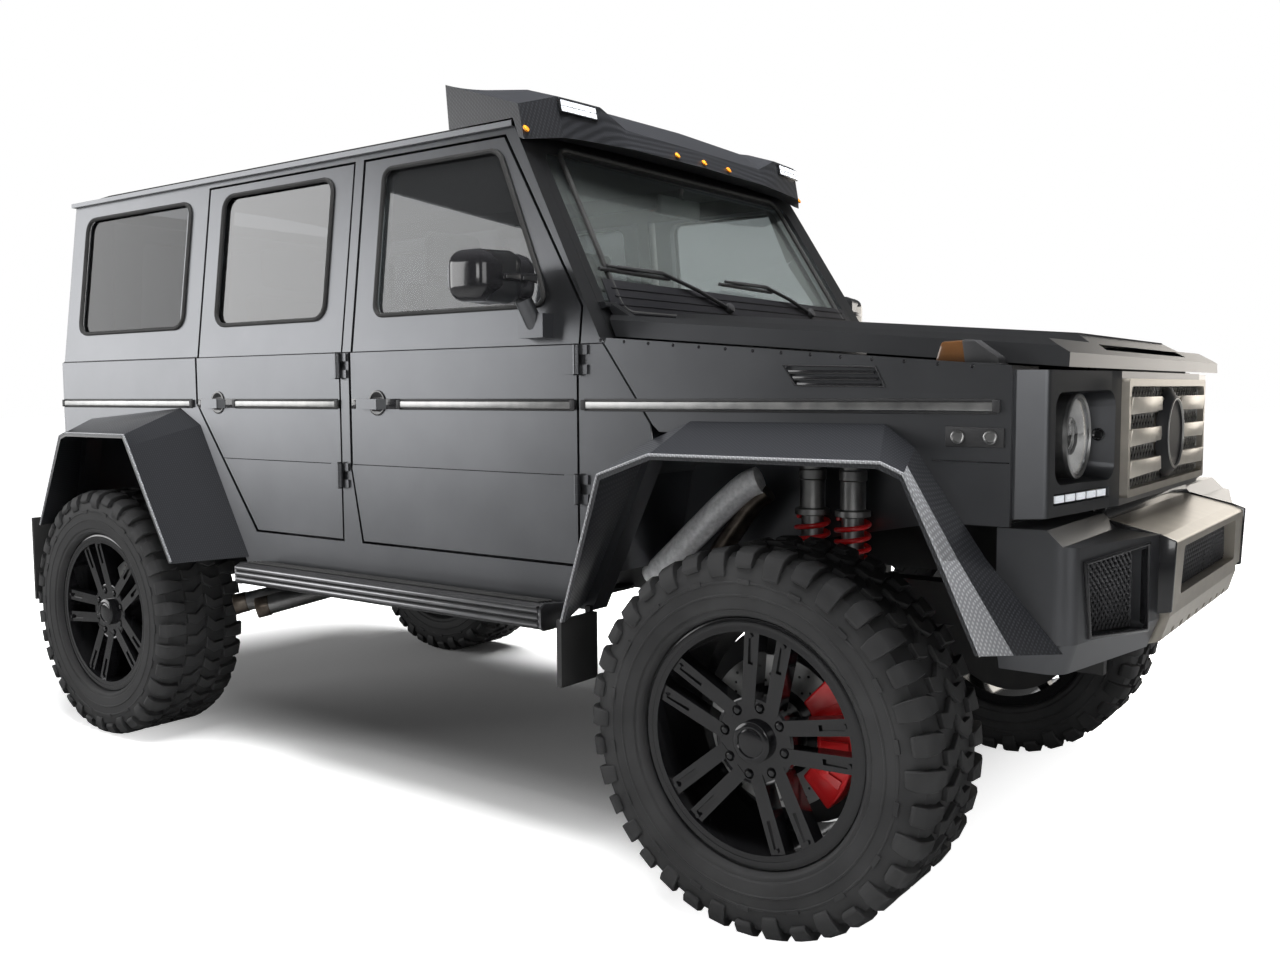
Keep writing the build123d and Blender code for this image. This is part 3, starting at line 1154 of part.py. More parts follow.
def seat_body(x, y, half_y, head_ys, head_half):
    """Cushion, leaning back and head rests of a seat whose cushion starts at x."""
    d, z, lean = SEAT_DEPTH, FLOOR_Z, 0.3 * SEAT_DEPTH
    cushion = [(x, z + 210), (x + d, z + 230), (x + 1.03 * d, z + 280), (x + 0.98 * d, z + 360),
               (x - 0.04 * d, z + 325)]
    back = [(x - 0.05 * d, z + 270), (x + 0.22 * d, z + 300), (x - 0.1 * d, z + 890), (x - lean, z + 890),
            (x - lean - 12, z + 840)]
    head = [(x - 0.1 * d, z + 880), (x - 0.12 * d, z + 1060), (x - lean, z + 1060), (x - lean + 6, z + 880)]
    shape = xz(cushion, y - half_y, y + half_y, {1: 24, 2: 24, 3: 34})
    shape += xz(back, y - half_y + 8, y + half_y - 8, {2: 30, 3: 20})
    for head_y in head_ys:
        shape += xz(head, head_y - head_half, head_y + head_half, {1: 26, 2: 26})
    return shape + block(x + 0.1 * d, x + 0.88 * d, y - half_y + 60, y + half_y - 60, SEAT_BASE_Z, z + 230)


def dashboard():
    """Fascia and console with the steering column and wheel in front of the left seat."""
    x, y, z = FASCIA_X, INNER_Y - 8, BELT_Z
    shape = [(x + 4, z - 234), (x, z - 4), (x + 44, z + 58), (x + 174, z + 66), (x + 234, z + 16),
             (x + 246, z - 24)]
    fascia = xz(shape + [(x + 246, z - 234)], -y, y, {2: 26, 3: 40})
    hub_x, hub_z = x - 106, z - 54
    tilt = Pos(hub_x, SEAT_Y, hub_z) * Rot(0, -90 + WHEEL_TILT, 0)
    wheel = tilt * Torus(185, 15) + tilt * Cylinder(52, 44)
    for turn in (0, 120, 240):
        wheel += tilt * Rot(0, 0, turn) * Pos(92, 0, 0) * Box(190, 34, 14)
    column = rod((hub_x, SEAT_Y, hub_z), (x + 44, SEAT_Y, hub_z - 150 * tan(radians(WHEEL_TILT))), 34)
    console = block(FRONT_SEAT_X, x + 6, -110, 110, SEAT_BASE_Z, FLOOR_Z + 350)
    console += block(x - 56, x + 44, -160, 160, FLOOR_Z + 300, z - 124)
    return fascia + wheel + column + console


def interior():
    """Seats and fascia."""
    PARTS["front_seats"] = pair(seat_body(FRONT_SEAT_X, SEAT_Y, 250, (SEAT_Y,), 130))
    PARTS["rear_seat"] = seat_body(REAR_SEAT_X, 0, INNER_Y - 172, (-430, 0, 430), 120)
    PARTS["dashboard"] = dashboard()


def move_to_origin():
    """Shift every piece so that the overall length is centred on the origin."""
    boxes = [p.bounding_box() for p in PARTS.values()]
    middle = (min(b.min.X for b in boxes) + max(b.max.X for b in boxes)) / 2
    for name in PARTS:
        PARTS[name] = Pos(-middle, 0, 0) * PARTS[name]


def main():
    """Model every piece and write one STEP file for each."""
    side_walls()
    cabin_shell()
    front_end()
    trim_and_guards()
    under_body()
    running_gear()
    wheels()
    interior()
    move_to_origin()
    os.makedirs("parts", exist_ok=True)
    for name, shape in PARTS.items():
        export_step(shape, f"parts/{name}.step")


if __name__ == "__main__":
    main()
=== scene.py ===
"""Looks of the lifted off-road estate car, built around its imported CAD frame.

Every piece is modelled in metres in the row frame: +X forward, +Y to the vehicle's left, +Z up.
"""

import logging
import math
from dataclasses import dataclass, field
from enum import Enum
from typing import Callable, Iterable, Sequence

import bmesh
import bpy
from mathutils import Matrix, Vector


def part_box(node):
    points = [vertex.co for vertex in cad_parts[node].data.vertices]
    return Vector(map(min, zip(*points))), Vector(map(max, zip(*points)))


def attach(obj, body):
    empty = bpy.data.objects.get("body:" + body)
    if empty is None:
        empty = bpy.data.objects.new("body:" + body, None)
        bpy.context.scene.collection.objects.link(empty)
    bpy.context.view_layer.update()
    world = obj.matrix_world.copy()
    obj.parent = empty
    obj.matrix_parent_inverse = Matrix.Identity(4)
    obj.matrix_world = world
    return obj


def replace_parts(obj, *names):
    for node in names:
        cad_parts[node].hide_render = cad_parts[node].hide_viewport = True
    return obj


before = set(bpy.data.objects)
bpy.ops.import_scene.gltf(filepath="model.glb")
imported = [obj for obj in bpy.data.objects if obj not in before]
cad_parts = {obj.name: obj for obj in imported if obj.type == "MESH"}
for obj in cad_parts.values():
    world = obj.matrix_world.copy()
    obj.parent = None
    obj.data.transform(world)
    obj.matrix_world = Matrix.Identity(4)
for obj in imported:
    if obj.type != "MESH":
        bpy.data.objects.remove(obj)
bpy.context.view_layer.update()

log = logging.getLogger("offroader")
Point = Sequence[float]
Colour = tuple[float, float, float]
Socket = bpy.types.NodeSocket

WHEELBASE = 2.850
HUB_Z = 0.466
WHEEL_Y = 0.875
AXLE_X = WHEELBASE * 500
HUB_MM = HUB_Z * 1000
BELT_Z = 1424
RAIL_Z = 2054
OVER = Matrix.Scale(-1, 4, (0, 1, 0))


def wheelbase_middle() -> float:
    """Row-frame x of the middle of the wheelbase, read from the front left tyre's box."""
    low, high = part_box("tyre_front_left")
    return (low.x + high.x) / 2 - WHEELBASE / 2


MIDDLE = wheelbase_middle()


def at(x: float, y: float, z: float) -> Vector:
    """Point given in millimetres from the middle of the wheelbase, in row-frame metres."""
    return Vector((x / 1000 + MIDDLE, y / 1000, z / 1000))


def side_on(y: float, plan: Iterable[Point]) -> list[Vector]:
    """Points of an outline seen from the side, all at one distance from the middle."""
    return [at(x, y, z) for x, z in plan]


def head_on(x: float, plan: Iterable[Point]) -> list[Vector]:
    """Points of an outline seen from the front, all at one station."""
    return [at(x, y, z) for y, z in plan]


class Side(Enum):
    """Side of the vehicle; the value is the sign of y."""

    LEFT = 1
    RIGHT = -1

    @property
    def label(self) -> str:
        """Word used in the names of nodes and pieces."""
        return self.name.lower()


# Materials


class Nodes:
    """A node tree, with short ways to add nodes and to feed their inputs."""

    def __init__(self, tree: bpy.types.NodeTree) -> None:
        """Keeps the tree."""
        self.tree = tree

    def add(self, kind: str, **settings: object) -> bpy.types.Node:
        """Adds a node and sets its properties.

        Args:
            kind: Blender's name of the node type.
            settings: properties of the node.

        Returns:
            The new node.
        """
        node = self.tree.nodes.new(kind)
        for key, value in settings.items():
            setattr(node, key, value)
        return node

    def feed(self, value: object, end: Socket) -> None:
        """Links a socket to an input, or sets the input to a constant.

        Args:
            value: the socket or constant.
            end: the input that takes it.
        """
        if isinstance(value, Socket):
            self.tree.links.new(value, end)
        else:
            end.default_value = value

    def maths(self, operation: str, *values: object, kind: str = "Math") -> Socket:
        """Adds a maths node.

        Args:
            operation: what it works out.
            values: sockets or constants, in the order of its inputs.
            kind: Math or VectorMath.

        Returns:
            The socket of its result.
        """
        node = self.add(f"ShaderNode{kind}", operation=operation)
        for value, end in zip(values, node.inputs):
            self.feed(value, end)
        return node.outputs["Value" if kind == "Math" or operation == "LENGTH" else "Vector"]

    def mixed(self, factor: Socket, first: object, second: object) -> Socket:
        """Mixes two colours, each a socket or a constant.

        Args:
            factor: share of the second colour.
            first: colour at 0.
            second: colour at 1.

        Returns:
            The mixed colour.
        """
        node = self.add("ShaderNodeMix", data_type="RGBA")
        for key, value in (("Factor", factor), ("A", first), ("B", second)):
            self.feed(value, node.inputs[key])
        return node.outputs["Result"]

    def between(self, factor: Socket, low: object, high: float) -> Socket:
        """Maps a factor from 0..1 to low..high; low may be a socket too.

        Args:
            factor: value from 0 to 1.
            low: result at 0.
            high: result at 1.

        Returns:
            The value in that range.
        """
        node = self.add("ShaderNodeMapRange")
        for key, value in (("To Min", low), ("To Max", high), ("Value", factor)):
            self.feed(value, node.inputs[key])
        return node.outputs["Result"]


class Shader(Nodes):
    """One node-based material around a principled shader, reading object coordinates."""

    def __init__(self, name: str) -> None:
        """Makes an empty material of that name.

        Args:
            name: name of the material.
        """
        self.material = bpy.data.materials.new(name)
        self.material.use_nodes = True
        super().__init__(self.material.node_tree)
        self.core = next(n for n in self.tree.nodes if n.type == "BSDF_PRINCIPLED")
        self.where = self.add("ShaderNodeTexCoord").outputs["Object"]

    def put(self, **values: object) -> "Shader":
        """Sets constants on the shader's own sockets; underscores stand for spaces.

        Args:
            values: socket names and values.

        Returns:
            This shader.
        """
        for key, value in values.items():
            if isinstance(value, tuple) and len(value) == 3:
                value = (*value, 1.0)
            self.core.inputs[key.replace("_", " ")].default_value = value
        return self

    def noise(self, scale: float, detail: float = 4.0, stretch: Point = (1, 1, 1)) -> Socket:
        """Noise in object coordinates.

        Args:
            scale: repeats per metre.
            detail: octaves.
            stretch: scale along each axis.

        Returns:
            The noise factor's socket.
        """
        mapping = self.add("ShaderNodeMapping")
        mapping.inputs["Scale"].default_value = stretch
        self.feed(self.where, mapping.inputs["Vector"])
        noise = self.add("ShaderNodeTexNoise")
        for key, value in (("Scale", scale), ("Detail", detail), ("Vector", mapping.outputs["Vector"])):
            self.feed(value, noise.inputs[key])
        return noise.outputs["Fac"]

    def ramp(self, factor: Socket, stops: Sequence[tuple[float, Colour]]) -> Socket:
        """Colour ramp.

        Args:
            factor: what drives it.
            stops: places and colours.

        Returns:
            The colour socket.
        """
        ramp = self.add("ShaderNodeValToRGB")
        band = ramp.color_ramp
        while len(band.elements) < len(stops):
            band.elements.new(0.5)
        for element, (place, colour) in zip(band.elements, stops):
            element.position, element.color = place, (*colour, 1.0)
        self.feed(factor, ramp.inputs["Fac"])
        return ramp.outputs["Color"]

    def bump(self, height: Socket, distance: float, strength: float = 1.0) -> "Shader":
        """Adds bump from a height.

        Args:
            height: socket that gives the height from 0 to 1.
            distance: metres between lowest and highest.
            strength: share of the bump used.

        Returns:
            This shader.
        """
        node = self.add("ShaderNodeBump")
        for key, value in (("Distance", distance), ("Strength", strength), ("Height", height)):
            self.feed(value, node.inputs[key])
        self.feed(node.outputs["Normal"], self.core.inputs["Normal"])
        return self

    def colour(self, socket: Socket) -> None:
        """Drives the base colour."""
        self.feed(socket, self.core.inputs["Base Color"])

    def roughness(self, socket: Socket) -> None:
        """Drives the roughness."""
        self.feed(socket, self.core.inputs["Roughness"])


@dataclass(frozen=True)
class Mottled:
    """Finish with slight variation of colour and roughness and a fine grain."""

    name: str
    dark: Colour
    light: Colour
    rough: tuple[float, float] = (0.4, 0.5)
    metallic: float = 0.0
    grain: float = 900.0
    depth: float = 0.00004
    coat: float = 0.0
    coat_rough: float = 0.1
    patch: float = 5.0
    shine: float = 0.5

    def make(self) -> bpy.types.Material:
        """Makes the material.

        Returns:
            The material.
        """
        shader = Shader(self.name)
        broad = shader.noise(self.patch, 5)
        fine = shader.noise(self.grain, 2)
        shader.colour(shader.ramp(broad, [(0.3, self.dark), (0.7, self.light)]))
        shader.roughness(shader.between(broad, *self.rough))
        shader.bump(fine, self.depth, 0.6)
        shader.put(Metallic=self.metallic, Coat_Weight=self.coat, Coat_Roughness=self.coat_rough)
        shader.put(Specular_IOR_Level=self.shine)
        return shader.material


@dataclass(frozen=True)
class Weave:
    """Woven fibre under satin lacquer: fine ribs that run across the flare."""

    name: str
    dark: Colour
    light: Colour
    pitch: float = 0.006

    def make(self) -> bpy.types.Material:
        """Makes the material.

        Returns:
            The material.
        """
        shader = Shader(self.name)
        waves = []
        for direction in ("X", "DIAGONAL"):
            wave = shader.add("ShaderNodeTexWave", wave_type="BANDS", bands_direction=direction)
            wave.inputs["Scale"].default_value = 0.314 / self.pitch
            wave.inputs["Distortion"].default_value = 0.0
            shader.feed(shader.where, wave.inputs["Vector"])
            waves.append(wave.outputs["Fac"])
        weave = shader.maths("MULTIPLY", *waves)
        shader.colour(shader.ramp(weave, [(0.1, self.dark), (0.9, self.light)]))
        shader.roughness(shader.between(weave, 0.42, 0.3))
        shader.bump(weave, 0.0003, 0.5)
        shader.put(Coat_Weight=0.3, Coat_Roughness=0.25)
        return shader.material


@dataclass(frozen=True)
class Glass:
    """Tinted glass with faint streaks in its surface."""

    name: str
    tint: Colour
    clear: float = 0.96
    bend: float = 1.45
    behind: tuple[float, Colour] | None = None

    def make(self) -> bpy.types.Material:
        """Makes the material; behind gives another tint rearward of a station along x.

        Returns:
            The material.
        """
        shader = Shader(self.name)
        streak = shader.ramp(
            shader.noise(3.0, 3), [(0.0, tuple(c * 0.94 for c in self.tint)), (1.0, self.tint)]
        )
        if self.behind:
            station, tint = self.behind
            split = shader.add("ShaderNodeSeparateXYZ")
            shader.feed(shader.where, split.inputs["Vector"])
            front = shader.maths("GREATER_THAN", split.outputs["X"], station)
            streak = shader.mixed(front, (*tint, 1.0), streak)
        shader.colour(streak)
        shader.put(Roughness=0.0, IOR=self.bend, Transmission_Weight=self.clear)
        return shader.material


@dataclass(frozen=True)
class Glow:
    """Lamp element that shines faintly."""

    name: str
    tone: Colour
    strength: float = 1.0

    def make(self) -> bpy.types.Material:
        """Makes the material.

        Returns:
            The material.
        """
        shader = Shader(self.name)
        shader.colour(
            shader.ramp(shader.noise(60.0, 2), [(0.3, tuple(c * 0.85 for c in self.tone)), (0.7, self.tone)])
        )
        shader.put(Roughness=0.2, Emission_Color=self.tone, Emission_Strength=self.strength)
        return shader.material


FINISHES = [
    Mottled(
        "paint", (0.15, 0.154, 0.162), (0.17, 0.174, 0.183), (0.33, 0.38), 0.97, 1400, 0.00002, 0.15, 0.2
    ),
    Mottled(
        "gloss_black", (0.008, 0.008, 0.009), (0.011, 0.011, 0.012), (0.12, 0.2), 0.0, 600, 0.00001, 0.6, 0.05
    ),
    Mottled("black_plastic", (0.016, 0.016, 0.017), (0.022, 0.022, 0.023), (0.5, 0.6), 0.0, 900, 0.00012),
    Weave("fibre", (0.010, 0.0105, 0.012), (0.028, 0.029, 0.033)),
    Mottled("steel", (0.40, 0.37, 0.32), (0.48, 0.445, 0.39), (0.3, 0.38), 0.75, 300, 0.00003, patch=20),
    Mottled("chassis", (0.02, 0.02, 0.021), (0.035, 0.034, 0.033), (0.5, 0.7), 0.2, 500, 0.0001, patch=12),
    Mottled(
        "rim", (0.004, 0.004, 0.0045), (0.006, 0.006, 0.0065), (0.1, 0.15), 0.0, 600, 0.000006, 0.3, 0.05
    ),
    Mottled(
        "tyre", (0.014, 0.014, 0.0145), (0.024, 0.024, 0.0245), (0.58, 0.72), 0.0, 420, 0.0002, patch=9,
        shine=0.32
    ),
    Mottled("rubber", (0.014, 0.014, 0.014), (0.024, 0.024, 0.024), (0.6, 0.75), 0.0, 500, 0.00012),
    Mottled("leather", (0.03, 0.027, 0.025), (0.05, 0.045, 0.04), (0.42, 0.55), 0.0, 350, 0.0003, patch=14),
    Mottled("red_paint", (0.45, 0.008, 0.01), (0.6, 0.012, 0.014), (0.25, 0.35), 0.0, 500, 0.00003, 0.4, 0.1),
    Mottled("champagne", (0.66, 0.61, 0.53), (0.76, 0.71, 0.63), (0.3, 0.38), 0.75, 240, 0.00002, patch=18),
    Mottled("satin", (0.26, 0.26, 0.27), (0.34, 0.34, 0.35), (0.3, 0.38), 1.0, 260, 0.00003, patch=12),
    Mottled("foil", (0.5, 0.5, 0.51), (0.72, 0.72, 0.73), (0.35, 0.5), 0.45, 130, 0.0005, patch=90),
    Mottled("burnt_steel", (0.10, 0.08, 0.065), (0.22, 0.19, 0.16), (0.3, 0.45), 1.0, 200, 0.00005, patch=30),
    Mottled("mirror", (0.75, 0.76, 0.78), (0.8, 0.81, 0.82), (0.02, 0.04), 1.0, 300, 0.000002),
    Mottled(
        "leather_edge", (0.018, 0.017, 0.016), (0.03, 0.028, 0.026), (0.4, 0.5), 0.0, 500, 0.0001, patch=14
    ),
    Mottled("bare_metal", (0.35, 0.35, 0.35), (0.5, 0.5, 0.49), (0.3, 0.45), 1.0, 200, 0.00005, patch=25),
    Mottled("amber", (0.6, 0.18, 0.01), (0.75, 0.26, 0.02), (0.15, 0.2), 0.0, 300, 0.00002, 0.5, 0.05),
    Mottled("red_lens", (0.3, 0.006, 0.008), (0.42, 0.01, 0.012), (0.12, 0.18), 0.0, 300, 0.00002, 0.6, 0.05),
    Glass("side_glass", (0.07, 0.073, 0.078), 0.97, 1.75),
    Glass("door_glass", (0.26, 0.27, 0.28), 0.97, 1.55),
    Glass("screen_glass", (0.72, 0.79, 0.77), 0.97, 1.3, (0.2, (0.07, 0.073, 0.078))),
    Glass("lamp_glass", (0.95, 0.95, 0.95), 1.0),
    Mottled("smoked", (0.05, 0.022, 0.008), (0.09, 0.04, 0.014), (0.12, 0.2), 0.0, 300, 0.00002, 0.7, 0.05),
    Mottled("mesh_black", (0.07, 0.07, 0.073), (0.1, 0.1, 0.104), (0.22, 0.32), 0.6, 300, 0.00002),
    # painted highlight: light woven fibre that stands for the bright reflections on the flares' lip edges and
    # front legs
    Weave("fibre_edge", (0.12, 0.122, 0.128), (0.26, 0.265, 0.275)),
    Mottled(
        "boss_black", (0.006, 0.006, 0.007), (0.009, 0.009, 0.01), (0.45, 0.5), 0.0, 600, 0.00001, shine=0.3
    ),
    Glow("led", (0.6, 0.62, 0.65), 0.45),
]
MATERIAL: dict[str, bpy.types.Material] = {}


def dress(obj: bpy.types.Object, *names: str) -> None:
    """Gives an object its materials in place of those it has.

    Args:
        obj: the object.
        names: finishes in the order of its slots.
    """
    obj.data.materials.clear()
    for name in names:
        obj.data.materials.append(MATERIAL[name])


NODE_FINISH = {
    "glass_front": "door_glass",
    "fixed_glass": "screen_glass",
    "glass": "side_glass",
    "tyre": "tyre",
    "rim": "rim",
    "arch_flares": "fibre",
    "light_bar": "fibre",
    "running_boards": "black_plastic",
    "mud_flaps": "rubber",
    "bull_bar": "steel",
    "grille": "steel",
    "front_lamps": "lamp_glass",
    "rear_lamps": "red_lens",
    "chassis_frame": "chassis",
    "drive_line": "chassis",
    "exhausts": "bare_metal",
    "front_axle": "chassis",
    "rear_axle": "chassis",
    "struts": "red_paint",
    "knuckle": "chassis",
    "seat": "leather",
    "dashboard": "black_plastic",
}


def dress_nodes() -> None:
    """Gives every CAD node the finish of the first key that its name holds, or else paint."""
    for name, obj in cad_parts.items():
        dress(obj, next((finish for key, finish in NODE_FINISH.items() if key in name), "paint"))


# Camera, light and floor


@dataclass
class Studio:
    """Camera at the photograph's viewpoint, soft lamps, and a pale floor."""

    eye: tuple[float, float, float] = (2806.0, -3313.0, 1296.0)
    yaw: float = math.radians(126.35)
    pitch: float = math.radians(-4.41)
    roll: float = math.radians(-0.32)
    lens: float = 32.64
    fill: float = 0.14
    gloss_fill: float = 0.08
    glow_reach: float = 1.15

    def camera(self) -> None:
        """Sets up the camera."""
        level = math.cos(self.pitch)
        forward = Vector((level * math.cos(self.yaw), level * math.sin(self.yaw), math.sin(self.pitch)))
        right = forward.cross(Vector((0, 0, 1))).normalized()
        up = right.cross(forward)
        turned_right = right * math.cos(self.roll) + up * math.sin(self.roll)
        turned_up = up * math.cos(self.roll) - right * math.sin(self.roll)
        data = bpy.data.cameras.new("camera")
        data.lens, data.sensor_width, data.clip_end = self.lens, 36.0, 200.0
        camera = bpy.data.objects.new("camera", data)
        turn = Matrix((turned_right, turned_up, -forward)).transposed().to_4x4()
        camera.matrix_world = Matrix.Translation(at(*self.eye)) @ turn
        bpy.context.scene.collection.objects.link(camera)
        bpy.context.scene.camera = camera

    def lamp(
        self, name: str, place: Point, target: Point, size: tuple[float, float], power: float,
        colour: Colour = (1, 1, 1)
    ) -> bpy.types.Object:
        """Adds one softbox.

        Args:
            name: the lamp's name.
            place: its centre.
            target: the point it faces.
            size: its width and height.
            power: watts.
            colour: its light's colour.

        Returns:
            The lamp.
        """
        data = bpy.data.lights.new(name, "AREA")
        data.color = colour
        data.shape, data.size, data.size_y, data.energy = "RECTANGLE", *size, power
        lamp = bpy.data.objects.new(name, data)
        turn = (Vector(place) - Vector(target)).to_track_quat("Z", "Y").to_matrix().to_4x4()
        lamp.matrix_world = Matrix.Translation(place) @ turn
        bpy.context.scene.collection.objects.link(lamp)
        return lamp

    def lamps(self) -> None:
        """Adds the softboxes."""
        overhead = self.lamp("overhead", (0.4, 0.0, 5.2), (0.2, 0, 0), (6.0, 4.0), 1500)
        overhead.visible_glossy = False
        self.lamp("right_wall", (-7.4, -5.5, 2.65), (0.0, -1.3, 2.2), (6.6, 4.3), 300)
        self.lamp("right_front", (4.2, -6.8, 2.45), (1.6, 0, 0.7), (2.6, 1.3), 44)
        self.lamp("front", (9.5, -2.5, 2.8), (1.5, 0, 0.9), (5.0, 3.0), 110)
        glow = self.lamp("left_wall", (1.9, 7.2, 1.95), (1.9, 0, 1.5), (4.6, 2.1), 85, (1.0, 0.94, 0.86))
        glow.visible_diffuse = False

    def world(self) -> None:
        """White backdrop for the camera, also through glass, and a soft fill for everything else."""
        world = bpy.data.worlds.new("backdrop")
        world.use_nodes = True
        nodes = Nodes(world.node_tree)
        background = nodes.tree.nodes["Background"]
        background.inputs["Color"].default_value = (1.0, 1.0, 1.0, 1.0)
        path = nodes.add("ShaderNodeLightPath").outputs
        direct = nodes.maths("LESS_THAN", path["Diffuse Depth"], 0.5)
        through = nodes.maths("MULTIPLY", path["Is Transmission Ray"], direct)
        seen = nodes.maths("MAXIMUM", path["Is Camera Ray"], through)
        fill = nodes.between(path["Is Glossy Ray"], self.fill, self.gloss_fill)
        nodes.feed(nodes.between(seen, fill, 1.0), background.inputs["Strength"])
        bpy.context.scene.world = world

    def floor(self) -> None:
        """Adds the pale floor, which keeps the object's shadow."""
        bpy.ops.object.select_all(action="DESELECT")
        bpy.ops.mesh.primitive_plane_add(size=120, location=(0, 0, 0))
        floor = bpy.context.object
        floor.name = "floor"
        shader = Shader("floor")
        path = shader.add("ShaderNodeLightPath").outputs
        pale = shader.ramp(shader.noise(0.5, 2), [(0.0, (0.86, 0.86, 0.86)), (1.0, (0.88, 0.88, 0.88))])
        shader.colour(shader.mixed(path["Is Glossy Ray"], pale, (0.16, 0.16, 0.16, 1.0)))
        shader.put(Roughness=0.9, Specular_IOR_Level=0.1)
        self.whiten(shader, path["Is Camera Ray"])
        floor.data.materials.append(shader.material)

    def whiten(self, shader: Shader, camera_ray: Socket) -> None:
        """Lets the floor rise to the backdrop's white outside a box that keeps the shadow.

        Args:
            shader: the floor's material.
            camera_ray: socket that is 1 for what the camera sees itself.
        """
        centre, half = (MIDDLE - 0.8, 0.35, 0.0), (1.5, 0.65, 0)
        spot = shader.where
        for operation, value in (
            ("SUBTRACT", centre), ("ABSOLUTE", centre), ("SUBTRACT", half), ("MAXIMUM", (0, 0, 0))
        ):
            spot = shader.maths(operation, spot, value, kind="VectorMath")
        rise = shader.add("ShaderNodeMapRange", interpolation_type="SMOOTHSTEP")
        rise.inputs["From Max"].default_value = self.glow_reach
        shader.feed(shader.maths("LENGTH", spot, kind="VectorMath"), rise.inputs["Value"])
        glow = shader.add("ShaderNodeEmission")
        shader.feed(shader.maths("MULTIPLY", camera_ray, rise.outputs["Result"]), glow.inputs["Strength"])
        both = shader.add("ShaderNodeAddShader")
        shader.feed(shader.core.outputs["BSDF"], both.inputs[0])
        shader.feed(glow.outputs["Emission"], both.inputs[1])
        out = next(n for n in shader.tree.nodes if n.type == "OUTPUT_MATERIAL")
        shader.feed(both.outputs["Shader"], out.inputs["Surface"])

    def build(self) -> None:
        """Sets up camera, lamps, world and floor."""
        self.camera()
        self.lamps()
        self.world()
        self.floor()
        bpy.context.scene.view_settings.view_transform = "Standard"


# Modelling tools


class Work:
    """One mesh being modelled in edit mode: shaped with operators, then finished as a piece."""

    def __init__(self, name: str) -> None:
        """Takes the object just added by a primitive operator.

        Args:
            name: name of the piece.
        """
        self.obj = bpy.context.object
        self.obj.name = name
        self.obj.data.name = name

    @staticmethod
    def fresh() -> None:
        """Deselects everything, so that an operator acts on its own piece only."""
        if bpy.context.object and bpy.context.object.mode != "OBJECT":
            bpy.ops.object.mode_set(mode="OBJECT")
        bpy.ops.object.select_all(action="DESELECT")

    @classmethod
    def cube(cls, name: str, low: Vector, high: Vector) -> "Work":
        """Starts from a box between two corners.

        Args:
            name: name of the piece.
            low: lowest corner.
            high: highest corner.

        Returns:
            The work, with its scale applied.
        """
        cls.fresh()
        low, high = Vector(low), Vector(high)
        bpy.ops.mesh.primitive_cube_add(size=1, location=(low + high) / 2)
        bpy.context.object.scale = high - low
        return cls(name).settle()

    @classmethod
    def ring(
        cls, name: str, centre: Vector, radius: float, axis: Vector, sides: int = 48, fill: str = "NGON"
    ) -> "Work":
        """Starts from a flat disc or circle that faces along an axis.

        Args:
            name: name of the piece.
            centre: its centre.
            radius: its radius.
            axis: direction that it faces.
            sides: number of sides.
            fill: NGON for a disc, NOTHING for a circle.

        Returns:
            The work.
        """
        cls.fresh()
        turn = Vector(axis).to_track_quat("Z", "Y").to_euler()
        bpy.ops.mesh.primitive_circle_add(
            vertices=sides, radius=radius, fill_type=fill, location=centre, rotation=turn
        )
        return cls(name).settle()

    @classmethod
    def plate(cls, name: str, corners: Sequence[Vector]) -> "Work":
        """Starts from a grid square drawn out to a polygon's corners.

        Args:
            name: name of the piece.
            corners: corners in order round the outline.

        Returns:
            The work: one flat face.
        """
        cls.fresh()
        bpy.ops.mesh.primitive_circle_add(vertices=len(corners), radius=1, fill_type="NGON")
        work = cls(name)
        for vertex, corner in zip(work.obj.data.vertices, corners):
            vertex.co = corner
        work.obj.data.update()
        return work

    @classmethod
    def line(cls, name: str, points: Sequence[Vector]) -> "Work":
        """Starts from an open line of points, for a spin.

        Args:
            name: name of the piece.
            points: the profile.

        Returns:
            The work.
        """
        cls.fresh()
        bpy.ops.mesh.primitive_circle_add(vertices=len(points), radius=1, fill_type="NOTHING")
        work = cls(name)
        for vertex, point in zip(work.obj.data.vertices, points):
            vertex.co = point
        with work.edit() as mesh:
            mesh.edges.ensure_lookup_table()
            closing = [e for e in mesh.edges if {v.index for v in e.verts} == {0, len(points) - 1}]
            if len(points) > 2:
                bmesh.ops.delete(mesh, geom=closing, context="EDGES_FACES")
        return work

    def settle(self) -> "Work":
        """Puts the object's place, turn and scale into its mesh.

        Returns:
            The work itself.
        """
        self.fresh()
        self.obj.select_set(True)
        bpy.context.view_layer.objects.active = self.obj
        bpy.ops.object.transform_apply(location=True, rotation=True, scale=True)
        return self

    def edit(self) -> "Editing":
        """Opens the mesh for choosing its faces and edges."""
        return Editing(self.obj)

    def enter(self, kind: str = "FACE") -> None:
        """Goes to edit mode with this piece alone.

        Args:
            kind: what is selected: VERT, EDGE or FACE.
        """
        self.fresh()
        self.obj.select_set(True)
        bpy.context.view_layer.objects.active = self.obj
        bpy.ops.object.mode_set(mode="EDIT")
        bpy.ops.mesh.select_mode(type=kind)

    def pick(self, rule: Callable, kind: str = "FACE") -> "Work":
        """Selects the faces, edges or vertices that a rule accepts, and stays in edit mode.

        Args:
            rule: called with each element.
            kind: FACE, EDGE or VERT.

        Returns:
            This work.
        """
        self.enter(kind)
        bpy.ops.mesh.select_all(action="DESELECT")
        mesh = bmesh.from_edit_mesh(self.obj.data)
        chosen = {"FACE": mesh.faces, "EDGE": mesh.edges, "VERT": mesh.verts}[kind]
        for element in chosen:
            if rule(element):
                element.select_set(True)
        mesh.select_flush_mode()
        bmesh.update_edit_mesh(self.obj.data)
        return self

    def every(self, kind: str = "FACE") -> "Work":
        """Selects the whole mesh."""
        return self.pick(lambda element: True, kind)

    def extrude(self, move: Point) -> "Work":
        """Extrudes the selection by a vector."""
        bpy.ops.mesh.extrude_region_move(TRANSFORM_OT_translate={"value": tuple(move)})
        return self

